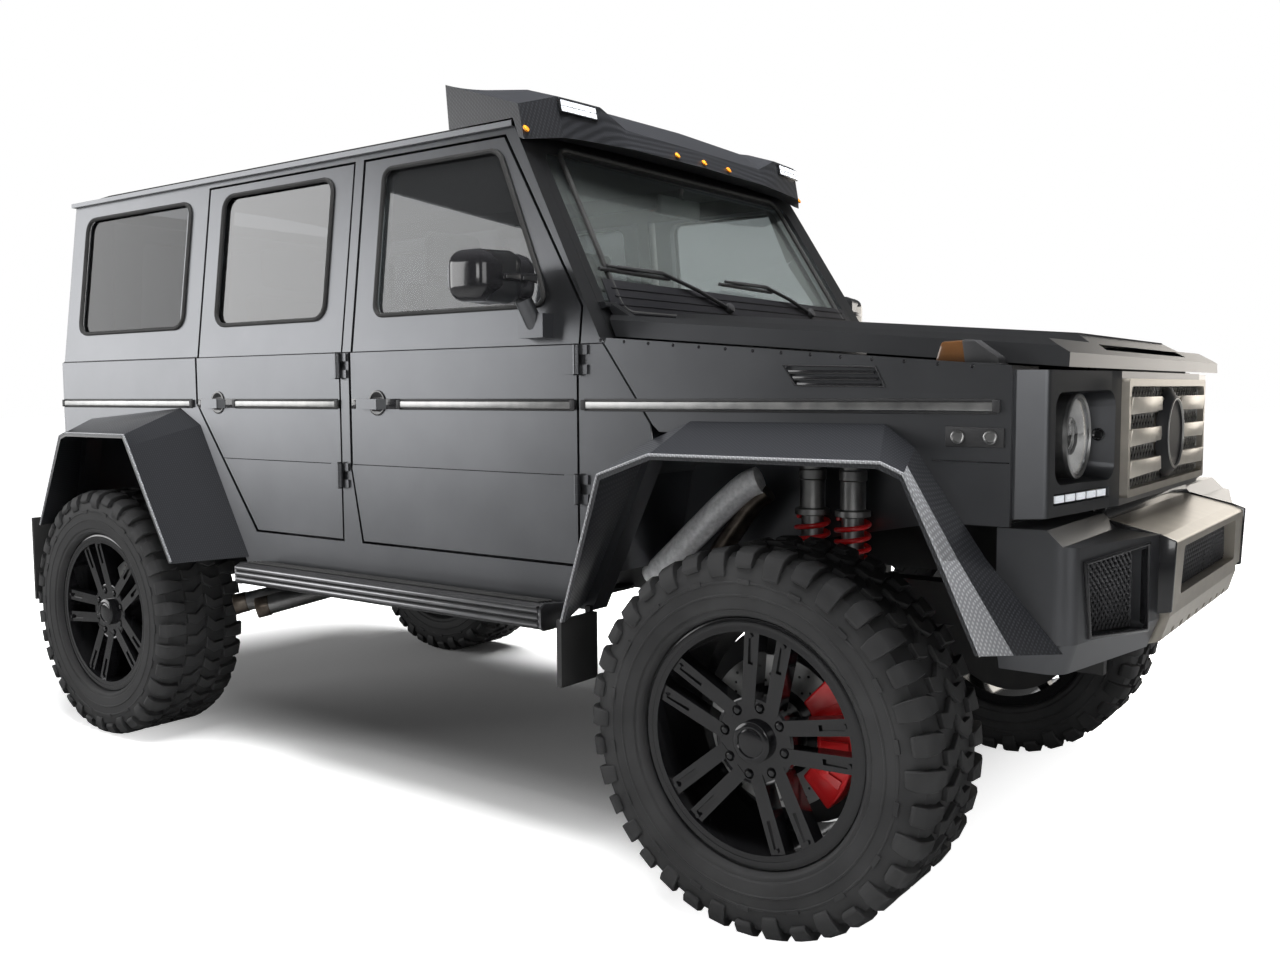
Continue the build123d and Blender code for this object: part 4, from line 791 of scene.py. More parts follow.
    def inset(self, width: float, depth: float = 0.0) -> "Work":
        """Insets the selected faces."""
        bpy.ops.mesh.inset(thickness=width, depth=depth)
        return self

    def bevel(self, width: float, segments: int = 2, kind: str = "EDGES") -> "Work":
        """Bevels the selected edges."""
        bpy.ops.mesh.bevel(offset=width, segments=segments, affect=kind, clamp_overlap=True)
        return self

    def scale(self, value: Point, centre: Point) -> "Work":
        """Scales the selection about a point."""
        bpy.ops.transform.resize(value=tuple(value), center_override=tuple(centre))
        return self

    def spin(self, centre: Point, axis: Point, steps: int, angle: float = 2 * math.pi) -> "Work":
        """Spins the whole profile about an axis and closes it.

        Args:
            centre: point on the axis.
            axis: direction of the axis.
            steps: number of steps.
            angle: angle of the turn, in radians.

        Returns:
            The work itself.
        """
        self.every("VERT")
        bpy.ops.mesh.spin(steps=steps, angle=angle, center=tuple(centre), axis=tuple(axis))
        return self.tidy()

    def tidy(self) -> "Work":
        """Merges doubles and turns every face outward.

        Returns:
            The work itself.
        """
        self.every("VERT")
        bpy.ops.mesh.remove_doubles(threshold=0.00002)
        bpy.ops.mesh.select_all(action="SELECT")
        bpy.ops.mesh.normals_make_consistent(inside=False)
        bpy.ops.object.mode_set(mode="OBJECT")
        return self

    def solid(self, thickness: float, offset: float = -1.0) -> "Work":
        """Gives a sheet its thickness.

        Args:
            thickness: its thickness, in metres.
            offset: side that it grows to, from -1 to 1.

        Returns:
            The work itself.
        """
        self.fresh()
        bpy.context.view_layer.objects.active = self.obj
        modifier = self.obj.modifiers.new("wall", "SOLIDIFY")
        modifier.thickness, modifier.offset = thickness, offset
        bpy.ops.object.modifier_apply(modifier=modifier.name)
        return self

    def soften(self, width: float, segments: int = 2, angle: float = 40.0) -> "Work":
        """Rounds every edge sharper than an angle.

        Args:
            width: size of the bevel, in metres.
            segments: facets across it.
            angle: least angle between faces, in degrees.

        Returns:
            This work.
        """
        self.fresh()
        bpy.context.view_layer.objects.active = self.obj
        modifier = self.obj.modifiers.new("edge", "BEVEL")
        modifier.width, modifier.segments = width, segments
        modifier.limit_method, modifier.angle_limit = "ANGLE", math.radians(angle)
        bpy.ops.object.modifier_apply(modifier=modifier.name)
        return self

    def smooth(self, angle: float = 35.0) -> "Work":
        """Shades the piece smooth below an angle, in degrees.

        Args:
            angle: angle that stays smooth.

        Returns:
            The work itself.
        """
        self.fresh()
        self.obj.select_set(True)
        bpy.context.view_layer.objects.active = self.obj
        bpy.ops.object.shade_smooth_by_angle(angle=math.radians(angle))
        return self

    def copy(self, matrix: Matrix, name: str) -> "Work":
        """Copies the piece with its own mesh, moved by a matrix.

        Args:
            matrix: where the copy goes.
            name: name of the copy.

        Returns:
            The copy's work.
        """
        twin = self.obj.copy()
        twin.data = self.obj.data.copy()
        twin.data.transform(matrix)
        if matrix.determinant() < 0:
            twin.data.flip_normals()
        bpy.context.scene.collection.objects.link(twin)
        bpy.context.view_layer.objects.active = twin
        return Work.adopt(twin, name)

    @classmethod
    def adopt(cls, obj: bpy.types.Object, name: str) -> "Work":
        """Wraps an object that is already there."""
        bpy.context.view_layer.objects.active = obj
        return cls(name)

    def join(self, others: Iterable["Work"]) -> "Work":
        """Joins other pieces into this one.

        Args:
            others: the other pieces.

        Returns:
            The work itself.
        """
        self.fresh()
        for other in others:
            other.obj.select_set(True)
        self.obj.select_set(True)
        bpy.context.view_layer.objects.active = self.obj
        bpy.ops.object.join()
        return self

    def mirror(self, name: str) -> "Work":
        """Copies the piece to the other side of the vehicle."""
        return self.copy(OVER, name)

    def both(self, body: str, finish: str, slot: str, angle: float = 35.0) -> list[bpy.types.Object]:
        """Finishes this left-hand piece and its mirror image, each with its side added to the name.

        Args:
            body: CAD body that carries it; a side's name in braces is filled in.
            finish: name of its finish.
            slot: not used.
            angle: smoothing angle in degrees.

        Returns:
            The two finished objects, left one first.
        """
        name = self.obj.name
        twin = self.mirror(f"{name}_right")
        self.obj.name = f"{name}_left"
        return [
            work.finish(body.format(side=side.label), finish, slot, angle)
            for work, side in ((self, Side.LEFT), (twin, Side.RIGHT))
        ]

    def finish(self, body: str, finish: str, slot: str, angle: float = 35.0) -> bpy.types.Object:
        """Dresses the piece and lets it ride on a body.

        Args:
            body: CAD body that carries it.
            finish: name of its finish.
            slot: not used.
            angle: smoothing angle in degrees.

        Returns:
            The finished object.
        """
        self.smooth(angle)
        dress(self.obj, finish)
        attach(self.obj, body)
        return self.obj


class Editing:
    """Opens a piece's mesh in object mode and writes it back."""

    def __init__(self, obj: bpy.types.Object) -> None:
        """Keeps the object."""
        self.obj = obj

    def __enter__(self) -> bmesh.types.BMesh:
        """Reads the mesh.

        Returns:
            The editable mesh.
        """
        self.mesh = bmesh.new()
        self.mesh.from_mesh(self.obj.data)
        return self.mesh

    def __exit__(self, *problem: object) -> None:
        """Writes the mesh back."""
        self.mesh.to_mesh(self.obj.data)
        self.mesh.free()


def facing(direction: Point, least: float = 0.9) -> Callable:
    """Rule that picks faces whose normal points along a direction."""
    aim = Vector(direction).normalized()
    return lambda face: face.normal.dot(aim) > least


def bar(name: str, start: Vector, end: Vector, radius: float, sides: int = 12) -> Work:
    """Round bar between two points, its ends slightly domed."""
    run = Vector(end) - Vector(start)
    return boss(name, start, radius, run, run, sides, (min(radius * 0.3, 0.004), 2, 60))


def boss(
    name: str, centre: Vector, radius: float, axis: Point, move: Point, sides: int, edge: tuple = ()
) -> Work:
    """Low round boss: a disc pushed out, with rounded edges.

    Args:
        name: name of the piece.
        centre: middle of its foot.
        radius: its radius.
        axis: direction that its foot faces.
        move: vector from foot to top.
        sides: number of sides.
        edge: size and segments of the rounding, or nothing for sharp edges.

    Returns:
        The work.
    """
    work = Work.ring(name, centre, radius, axis, sides)
    work.every().extrude(move)
    work.tidy()
    return work.soften(*edge) if edge else work


def tube(name: str, points: Sequence[Vector], radius: float, sides: int = 12, closed: bool = False) -> Work:
    """Round tube that follows points, as a bevelled curve made into a mesh.

    Args:
        name: name of the piece.
        points: where it runs.
        radius: its radius.
        sides: about how many sides it has.
        closed: whether it ends where it starts.

    Returns:
        The work.
    """
    curve = bpy.data.curves.new(name, "CURVE")
    curve.dimensions, curve.bevel_depth, curve.bevel_resolution = "3D", radius, max(1, sides // 4)
    curve.use_fill_caps = True
    spline = curve.splines.new("POLY")
    spline.points.add(len(points) - 1)
    for target, point in zip(spline.points, points):
        target.co = (*point, 1)
    spline.use_cyclic_u = closed
    obj = bpy.data.objects.new(name, curve)
    bpy.context.scene.collection.objects.link(obj)
    Work.fresh()
    obj.select_set(True)
    bpy.context.view_layer.objects.active = obj
    bpy.ops.object.convert(target="MESH")
    return Work(name)


def slab(name: str, corners: Sequence[Vector], depth: Point, edge: float = 0.0015) -> Work:
    """Plate with a thickness and rounded edges.

    Args:
        name: name of the piece.
        corners: outline.
        depth: vector of its thickness.
        edge: size of its rounded edges.

    Returns:
        The work.
    """
    work = Work.plate(name, corners)
    work.every().extrude(depth)
    work.tidy()
    return work.soften(edge, 2)


def joined(name: str, works: Sequence[Work]) -> Work:
    """Joins pieces into the first of them, under a new name."""
    works[0].obj.name = name
    return works[0].join(works[1:])


def rounded_loop(corners: Sequence[Vector], radius: float) -> list[Vector]:
    """Points round an outline whose corners are rounded.

    Args:
        corners: the outline's corners.
        radius: radius at each corner, in metres.

    Returns:
        The points in their order.
    """
    work = Work.plate("loop", corners)
    work.every("VERT")
    work.bevel(radius, 5, "VERTICES")
    bpy.ops.object.mode_set(mode="OBJECT")
    mesh = work.obj.data
    points = [mesh.vertices[k].co.copy() for k in mesh.polygons[0].vertices]
    bpy.data.objects.remove(work.obj)
    return points


def turned_about(centre: Vector, degrees: float) -> Matrix:
    """Matrix that turns things about the Y axis through a point."""
    move = Matrix.Translation(centre)
    return move @ Matrix.Rotation(math.radians(degrees), 4, "Y") @ move.inverted()


# Wheels


@dataclass
class Wheel:
    """One wheel: lugged tyre, bolts, cap and brake disc, modelled about the Y axis and then placed."""

    radius: float = 0.466
    half_width: float = 0.165
    bead_radius: float = 0.2797
    bead_half: float = 0.1197
    lugs: int = 36
    long_reach: float = 0.066
    short_reach: float = 0.046
    bolt_circle: float = 0.0825
    bolts: int = 8
    turns: dict[str, float] = field(default_factory=lambda: {"front": 10.0, "rear": -18.0})

    def shoulder_lug(self, reach: float, name: str) -> Work:
        """Shoulder lug that hangs down the side wall by its reach.

        Args:
            reach: distance from the tread to the lug's lower end.
            name: name of the piece.

        Returns:
            One lug at the top of the tyre, on the left side.
        """
        out, top, half = self.half_width, self.radius - 0.0008, 0.024
        section = [
            (out - 0.084, top - 0.022), (out - 0.084, top), (out - 0.036, top), (out - 0.012, top - 0.010)
        ]
        section += [
            (out, top - 0.034), (out - 0.001, top - reach + 0.006), (out - 0.004, top - reach),
            (out - 0.022, top - reach)
        ]
        section += [(out - 0.04, top - 0.03)]
        work = Work.plate(name, [Vector((-half, y, z)) for y, z in section])
        work.every().extrude((2 * half, 0, 0))
        work.tidy()
        work.pick(lambda v: v.co.z > top - 0.004 and v.co.y < out - 0.05, "VERT")
        work.scale((0.62, 1, 1), (0.012, 0, top))
        work.pick(lambda v: v.co.z < top - reach + 0.01, "VERT").scale((0.8, 1, 1), (0, 0, top))
        work.tidy()
        return work.soften(0.0022, 1, 30)

    def tread_block(self, name: str) -> Work:
        """Chevron block beside the tread's middle line.

        Args:
            name: name of the piece.

        Returns:
            The work.
        """
        top = self.radius - 0.0012
        plan = [
            (-0.034, 0.004), (0.006, 0.004), (0.030, 0.036), (0.022, 0.074), (-0.012, 0.074), (-0.006, 0.038)
        ]
        work = Work.plate(name, [Vector((x, y, top - 0.014)) for x, y in plan])
        work.every().extrude((0, 0, 0.014))
        work.tidy()
        work.pick(facing((0, 0, 1))).inset(0.003)
        work.tidy()
        return work.soften(0.0016, 1, 30)

    def side_bar(self, name: str) -> Work:
        """Small raised bar on the side wall, between two lugs.

        Args:
            name: name of the piece.

        Returns:
            The work.
        """
        y, z = self.half_width - 0.0065, self.radius - 0.078
        work = Work.cube(name, (-0.016, y, z - 0.006), (0.016, y + 0.0045, z + 0.006))
        work.pick(facing((0, 1, 0))).inset(0.0015, 0.0)
        work.tidy()
        return work.soften(0.001, 1, 30)

    def carcass(self) -> Work:
        """Carcass with beads, rim guard, ribbed side walls and the groove floor of the tread.

        Returns:
            The work.
        """
        r, w = self.radius, self.half_width
        side = [(self.bead_radius, self.bead_half), (self.bead_radius + 0.022, self.bead_half)]
        side += [
            (0.3035, w - 0.022), (0.309, w - 0.0145), (0.313, w - 0.013), (0.320, w - 0.0135),
            (0.324, w - 0.009)
        ]
        side += [
            (0.340, w - 0.0065), (0.352, w - 0.0055), (0.354, w - 0.0035), (0.357, w - 0.0035),
            (0.359, w - 0.0055)
        ]
        side += [
            (0.382, w - 0.0055), (0.384, w - 0.004), (0.387, w - 0.004), (0.389, w - 0.006),
            (0.418, w - 0.008)
        ]
        side += [(r - 0.024, w - 0.024), (r - 0.0145, w - 0.05), (r - 0.0138, 0.0)]
        return self.turned("carcass", side + [(z, -y) for z, y in reversed(side[:-1])] + side[:1], 96)

    def turned(self, name: str, profile: Sequence[Point], steps: int) -> Work:
        """Piece turned about the wheel's axis from a profile of radius and distance outward."""
        return Work.line(name, [Vector((0, y, z)) for z, y in profile]).spin((0, 0, 0), (0, 1, 0), steps)

    def around(self, unit: Work, first: float, every: float, count: int, flip: bool = False) -> list[Work]:
        """Copies a unit round the wheel.

        Args:
            unit: piece at the top of the wheel.
            first: angle of the first copy, in degrees.
            every: angle between copies.
            count: number of copies.
            flip: whether the copies go to the inner side.

        Returns:
            The copies.
        """
        side = OVER if flip else Matrix.Identity(4)
        return [
            unit.copy(Matrix.Rotation(math.radians(first + k * every), 4, "Y") @ side, f"{unit.obj.name}_{k}")
            for k in range(count)
        ]

    def tyre(self) -> Work:
        """Whole tyre about the Y axis.

        Returns:
            The work.
        """
        pitch = 360 / self.lugs
        half = self.lugs // 2
        units = [(self.shoulder_lug(self.long_reach, "lug_long"), 0.0, 2 * pitch, half)]
        units.append((self.shoulder_lug(self.short_reach, "lug_short"), pitch, 2 * pitch, half))
        units.append((self.tread_block("chevron"), pitch / 2, pitch, self.lugs))
        units.append((self.side_bar("side_bar"), pitch, 2 * pitch, half))
        parts = []
        for unit, first, every, count in units:
            parts += self.around(unit, first, every, count)
            parts += self.around(unit, first + pitch / 2, every, count, True)
            bpy.data.objects.remove(unit.obj)
        return self.carcass().join(parts)

    def bolt(self) -> Work:
        """Wheel bolt with a domed six-sided head.

        Returns:
            The work.
        """
        z, y = self.bolt_circle, 0.1005
        work = boss("bolt", (0, y, z), 0.0095, (0, 1, 0), (0, 0.013, 0), 6)
        work.pick(facing((0, 1, 0))).inset(0.002, 0.0015)
        work.tidy()
        return work.soften(0.001, 2, 30)

    def trim(self) -> Work:
        """Bolts, cap ring, hub ring and the small studs along the rim's edge.

        Returns:
            The work.
        """
        bolts = self.around(self.bolt(), 0, 360 / self.bolts, self.bolts)
        bpy.data.objects.remove(bpy.data.objects["bolt"])
        cap = [
            (0.0, 0.1305), (0.028, 0.1305), (0.034, 0.1285), (0.036, 0.1315), (0.043, 0.1315),
            (0.0495, 0.1275), (0.0505, 0.122)
        ]
        ring = self.turned("cap", cap, 48)
        dish = [(0.0985, 0.100), (0.0985, 0.1105), (0.1025, 0.1120), (0.106, 0.1105), (0.106, 0.092)]
        hub = self.turned("hub_ring", dish, 60)
        stud = boss("stud", (0.044, 0.1275, 0.252), 0.0055, (0, 1, 0), (0, 0.003, 0), 10)
        studs = []
        for lean in (0.0, 20.2):
            studs += self.around(stud, -lean, 72, 5)
        bpy.data.objects.remove(stud.obj)
        lip = [(0.2965, 0.1345), (0.288, 0.1365), (0.2795, 0.1345), (0.2797, 0.130)]
        return ring.join([*bolts, hub, self.turned("rim_lip", lip, 96), *studs])

    def disc(self) -> Work:
        """Brake disc's outer face and rim."""
        face = [(0.112, 0.0052), (0.1872, 0.0058), (0.1876, 0.004), (0.1876, -0.0265), (0.1872, -0.0275)]
        return self.turned("disc", face, 72)

    def holes(self) -> Work:
        """Drilled holes in the brake disc, as shallow countersinks whose gloss black is painted shade for the
        holes' dark insides.

        Returns:
            The work.
        """
        copies = []
        for row in range(4):
            hole = Work.ring(f"hole_{row}", (0, 0.0062, 0.125 + 0.015 * row), 0.0038, (0, 1, 0), 10)
            hole.every().inset(0.001, -0.0002)
            hole.tidy()
            copies += self.around(hole, 7 * row, 24, 15)
            bpy.data.objects.remove(hole.obj)
        return copies[0].join(copies[1:])

    def build(self) -> None:
        """Makes the left wheel once and places its copies on the four hubs."""
        sources = [
            (self.tyre(), "tyre", "tyre", "tyre"),
            (self.trim(), "wheel_trim", "rim", "rim"),
            (self.disc(), "brake_disc", "bare_metal", "steel"),
            # painted shade: near-flat gloss black insets stand for the shade inside the drilled holes
            (self.holes(), "brake_disc_holes", "gloss_black", "steel"),
        ]
        for place, turn in self.turns.items():
            low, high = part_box(f"tyre_{place}_left")
            hub = Vector(((low.x + high.x) / 2, WHEEL_Y, HUB_Z))
            put = Matrix.Translation(hub) @ Matrix.Rotation(math.radians(turn), 4, "Y")
            for side in Side:
                matrix = put if side is Side.LEFT else OVER @ put
                for work, name, finish, slot in sources:
                    piece = work.copy(matrix, f"{name}_{place}_{side.label}_piece")
                    obj = piece.finish(f"wheel_{place}_{side.label}", finish, slot)
                    if name == "tyre":
                        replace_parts(obj, f"tyre_{place}_{side.label}")
        for work, *_ in sources:
            bpy.data.objects.remove(work.obj)


@dataclass
class Brakes:
    """Red brake callipers that carry over the front discs."""

    inner: float = 123
    outer: float = 219.5
    half_arc: float = 46.5

    def sector(
        self, name: str, inner: float, outer: float, half_arc: float, y: tuple[float, float], edge: float
    ) -> Work:
        """Block between two radii about the left front hub, ahead of it.

        Args:
            name: name of the piece.
            inner: inner radius.
            outer: outer radius.
            half_arc: half of its angle, in degrees.
            y: its two faces.
            edge: size of its rounded edges.

        Returns:
            The work.
        """
        steps = [math.radians(half_arc) * (k / 8 - 1) for k in range(17)]
        points = [(outer * math.cos(a), outer * math.sin(a)) for a in steps]
        points += [(inner * math.cos(a), inner * math.sin(a)) for a in reversed(steps)]
        return slab(
            name, [at(AXLE_X + x, y[1], HUB_MM + z) for x, z in points], (0, (y[0] - y[1]) / 1000, 0), edge
        )

    def calliper(self) -> Work:
        """Outer half of the left front calliper with its ribs, pads' pins and bridge.

        Returns:
            The work.
        """
        work = self.sector("calliper", self.inner, self.outer, self.half_arc, (884, 906), 0.006)
        work.pick(facing((0, 1, 0), 0.98)).inset(0.009, -0.003)
        work.tidy()
        bridge = self.sector("bridge", 196, self.outer, self.half_arc, (819, 886), 0.003)
        ribs = [
            self.sector(f"rib_{k}", self.inner + 12, self.outer - 12, 3.2, (902, 909), 0.002)
            for k in range(3)
        ]
        for k, rib in enumerate(ribs):
            rib.obj.data.transform(turned_about(at(AXLE_X, 0, HUB_MM), 27 * (k - 1)))
        pins = []
        for k in (-1, 1):
            x, z = AXLE_X + 148, HUB_MM + 62 * k
            pins.append(bar(f"pin_{k}", at(x, 900, z), at(x, 911, z), 0.011, 16))
        return work.join([bridge, *ribs, *pins])

    def build(self) -> None:
        """Places the callipers on both knuckles."""
        self.calliper().both("knuckle_{side}", "red_paint", "spring")


@dataclass
class Struts:
    """Coil-over struts in pairs between the axles and the arches."""

    front_y: float = 590
    rear_y: float = 628
    spread: float = 58
    coil_radius: float = 0.042
    wire: float = 0.0068

    def coil(self, x: float, y: float) -> Work:
        """One red coil spring.

        Args:
            x: station along the vehicle.
            y: distance from the middle.

        Returns:
            The work.
        """
        steps, turns, low, high = 18, 8.5, 0.702, 0.962
        count = int(steps * turns)
        points, reach = [], self.coil_radius
        for k in range(count + 1):
            angle = 2 * math.pi * k / steps
            rise = low + (high - low) * k / count
            points.append(at(x, y, 0) + Vector((reach * math.cos(angle), reach * math.sin(angle), rise)))
        return tube("coil", points, self.wire, 8)

    def damper(self, x: float, y: float, top: float) -> Work:
        """One damper: body, spring seats, collar and shaft, turned about its own axis.

        Args:
            x: station along the vehicle.
            y: distance from the middle.
            top: height of its upper end.

        Returns:
            The work.
        """
        profile = [
            (0, 656), (26, 656), (30, 662), (30, 690), (47, 694), (47, 702), (31, 704), (29, 740), (29, 966),
            (46, 970)
        ]
        profile += [
            (46, 984), (33, 988), (33, 1060), (36, 1064), (36, 1086), (33, 1090), (33, top - 14),
            (36, top - 12), (36, top), (0, top)
        ]
        points = [at(x + r, y, z) for r, z in profile]
        return Work.line("damper", points).spin(at(x, y, 0), (0, 0, 1), 32)

    def build(self) -> None:
        """Places eight struts."""
        coils, dampers = [], []
        for wheel_x, y, top in ((AXLE_X, self.front_y, 1188), (-AXLE_X, self.rear_y, 1117)):
            for dx in (-self.spread, self.spread):
                for side in Side:
                    coils.append(self.coil(wheel_x + dx, side.value * y))
                    dampers.append(self.damper(wheel_x + dx, side.value * y, top))
        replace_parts(joined("dampers", dampers).finish("vehicle", "bare_metal", "steel"), "struts")
        joined("coil_springs", coils).finish("vehicle", "red_paint", "spring", 60)


# Front end


def lattice(name: str, corners: Sequence[Vector], across: int, up: int, wire: float) -> Work:
    """Diamond wire mesh that fills a four-sided opening.

    Args:
        name: name of the piece.
        corners: lower left, lower right, upper right and upper left corner.
        across: diamonds along the lower edge.
        up: diamonds along the side.
        wire: thickness of the wires.

    Returns:
        The work.
    """
    Work.fresh()
    count = across + up + 2
    bpy.ops.mesh.primitive_grid_add(x_subdivisions=count, y_subdivisions=count, size=count)
    work = Work(name)
    work.every("VERT")
    bpy.ops.transform.rotate(value=math.radians(45), orient_axis="Z", center_override=(0, 0, 0))
    half_diagonal = math.sqrt(0.5)
    limits = (across * half_diagonal, up * half_diagonal)
    for axis, limit in enumerate(limits):
        for sign in (1, -1):
            normal = tuple(sign if k == axis else 0 for k in range(3))
            work.every("VERT")
            bpy.ops.mesh.bisect(plane_co=[c * limit for c in normal], plane_no=normal, clear_outer=True)
    bpy.ops.object.mode_set(mode="OBJECT")
    a, b, c, d = (Vector(p) for p in corners)
    for vertex in work.obj.data.vertices:
        u, v = (vertex.co.x / limits[0] + 1) / 2, (vertex.co.y / limits[1] + 1) / 2
        vertex.co = a.lerp(b, u).lerp(d.lerp(c, u), v)
    modifier = work.obj.modifiers.new("wires", "WIREFRAME")
    modifier.thickness, modifier.use_even_offset = wire, False
    bpy.ops.object.modifier_apply(modifier=modifier.name)
    return work


@dataclass
class Grille:
    """Mesh, backing and plain round boss of the grille, and the slats' bright faces."""

    half_y: float = 420
    low_z: float = 1055
    high_z: float = 1299
    back_x: float = 2092
    middle_z: float = 1177
    pitch: float = 76

    def build(self) -> None:
        """Makes the pieces of the grille."""
        y, z0, z1 = self.half_y, self.low_z, self.high_z
        corners = [(-y, z0), (y, z0), (y, z1), (-y, z1)]
        backing = slab("grille_backing", head_on(self.back_x + 0.5, corners), (0.0015, 0, 0), 0.0004)
        backing.finish("vehicle", "gloss_black", "gloss_black")
        mesh = lattice("grille_mesh", head_on(self.back_x + 5, corners), 28, 8, 0.0044)
        mesh.finish("vehicle", "bare_metal", "steel")
        slats = []
        for k in (-1, 0, 1):
            z = self.middle_z + k * self.pitch
            for side in Side:
                inner, outer = side.value * 96, side.value * (y - 3)
                points = [
                    (inner, z - 15), (outer, z - 21), (outer, z + 21), (inner + side.value * 28, z + 21)
                ]
                if side is Side.LEFT:
                    points.reverse()
                slat = slab(
                    f"slat_{k}_{side.label}", [at(2112 + (b - z) * 0.12, a, b) for a, b in points],
                    (0.006, 0, 0), 0.002
                )
                slats.append(slat)
        joined("grille_slats", slats).finish("vehicle", "champagne", "steel")
        dome = [
            (2104, 119), (2114, 114), (2122, 102), (2127, 97), (2129, 92), (2126, 88), (2125, 60), (2127, 0)
        ]
        points = [at(x, 0, self.middle_z + r) for x, r in dome]
        boss = Work.line("grille_boss", points).spin(at(2100, 0, self.middle_z), (1, 0, 0), 64)
        boss.finish("vehicle", "boss_black", "gloss_black")
        ring = [(2127, 94), (2131, 92), (2131, 88), (2127, 86)]
        rim = Work.line("boss_ring", [at(x, 0, self.middle_z + r) for x, r in ring + ring[:1]])
        rim.spin(at(2100, 0, self.middle_z), (1, 0, 0), 64).finish("vehicle", "bare_metal", "steel")


@dataclass
class Headlamps:
    """Round headlamps, running-light strips and the indicators on the wings."""

    y: float = 628
    z: float = 1188
    back_x: float = 2003

    def turned(self, name: str, profile: Sequence[Point], wall: float = 0.0) -> Work:
        """Turned piece about the left lamp's axis.

        Args:
            name: name of the piece.
            profile: distances from the back and from the axis, in millimetres.
            wall: thickness given to an open shell, in metres.

        Returns:
            The work.
        """
        points = [at(self.back_x + x, self.y, self.z + r) for x, r in profile]
        work = Work.line(name, points).spin(at(self.back_x, self.y, self.z), (1, 0, 0), 48)
        return work.solid(wall) if wall else work

    def face(self, y: float) -> float:
        """Station of the nose's slanting face at y, less a small inset."""
        return 2084 - (y - 488) * 0.1273

    def leds(self) -> list[Work]:
        """Five light cells of the left running-light strip.

        Returns:
            The works.
        """
        cells = []
        for k in range(5):
            y = 506 + 56 * k
            corners = [
                at(self.face(a) - 1, a, z)
                for a, z in ((y, 1047), (y + 44, 1047), (y + 44, 1063), (y, 1063))
            ]
            cell = slab(f"led_{k}", corners, (0.004, 0, 0), 0.0008)
            cell.pick(facing((1, 0.1, 0))).inset(0.0035, -0.0015)
            cell.tidy()
            cells.append(cell)
        return cells

    def build(self) -> None:
        """Makes the left lamps and mirrors them."""
        bowl = self.turned(
            "lamp_bowl",
            [
                (2, 0), (2, 26), (12, 30), (22, 52), (34, 74), (46, 86), (50, 92), (47, 95), (2, 95), (0, 60),
                (0, 0)
            ]
        )
        lens = self.turned("lamp_lens", [(48, 89), (55, 74), (60, 50), (63, 26), (64, 0)], 0.003)
        ring = self.turned("lamp_ring", [(44, 97), (52, 96), (54, 92), (50, 89), (44, 91), (44, 97)])
        eye = self.turned("lamp_eye", [(6, 38), (30, 36), (34, 32), (36, 24), (38, 0), (8, 0), (6, 38)])
        collar = self.turned("lamp_collar", [(14, 46), (36, 42), (38, 38), (34, 36), (12, 40), (14, 46)])
        plan = [(2026, 495), (self.face(495) - 2, 495), (self.face(785) - 2, 785), (2026, 785)]
        housing = slab("strip_housing", [at(x, y, 1044) for x, y in plan], (0, 0, 0.022), 0.002)
        cells = joined("led_cells", self.leds())
        nozzle = Work.line(
            "washer_nozzle",
            [at(2060, 484 + d, 1188 + r) for d, r in ((0, 15), (6, 15), (8, 12), (5, 9), (5, 0))]
        )
        nozzle.spin(at(2060, 484, 1188), (0, 1, 0), 24)
        cover = [(1808, 1352), (1822, 1399), (1876, 1401), (1888, 1346)]
        indicator = slab("indicator", side_on(817.5, cover), (0, 0.045, 0), 0.006)
        cap = [(1876, 1346), (1868, 1403), (1898, 1401), (1953, 1362), (1953, 1337)]
        visor = slab("indicator_cap", side_on(816, cap), (0, 0.048, 0), 0.006)
        base = slab(
            "indicator_base", side_on(813, ((1800, 1341), (1802, 1356), (1956, 1350), (1956, 1333))),
            (0, 0.054, 0), 0.002
        )
        table = [
            (bowl, "bare_metal"), (lens, "lamp_glass"), (ring, "bare_metal"), (eye, "lamp_glass"),
            (collar, "gloss_black"), (housing, "gloss_black"), (cells, "led"), (nozzle, "gloss_black"),
            (indicator, "smoked"), (visor, "black_plastic"), (base, "black_plastic"),
        ]
        for work, finish in table:
            pair = work.both("vehicle", finish, "gloss_black" if work is nozzle else "lamp")
            if work is bowl:
                for obj in pair:
                    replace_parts(obj, "front_lamps")


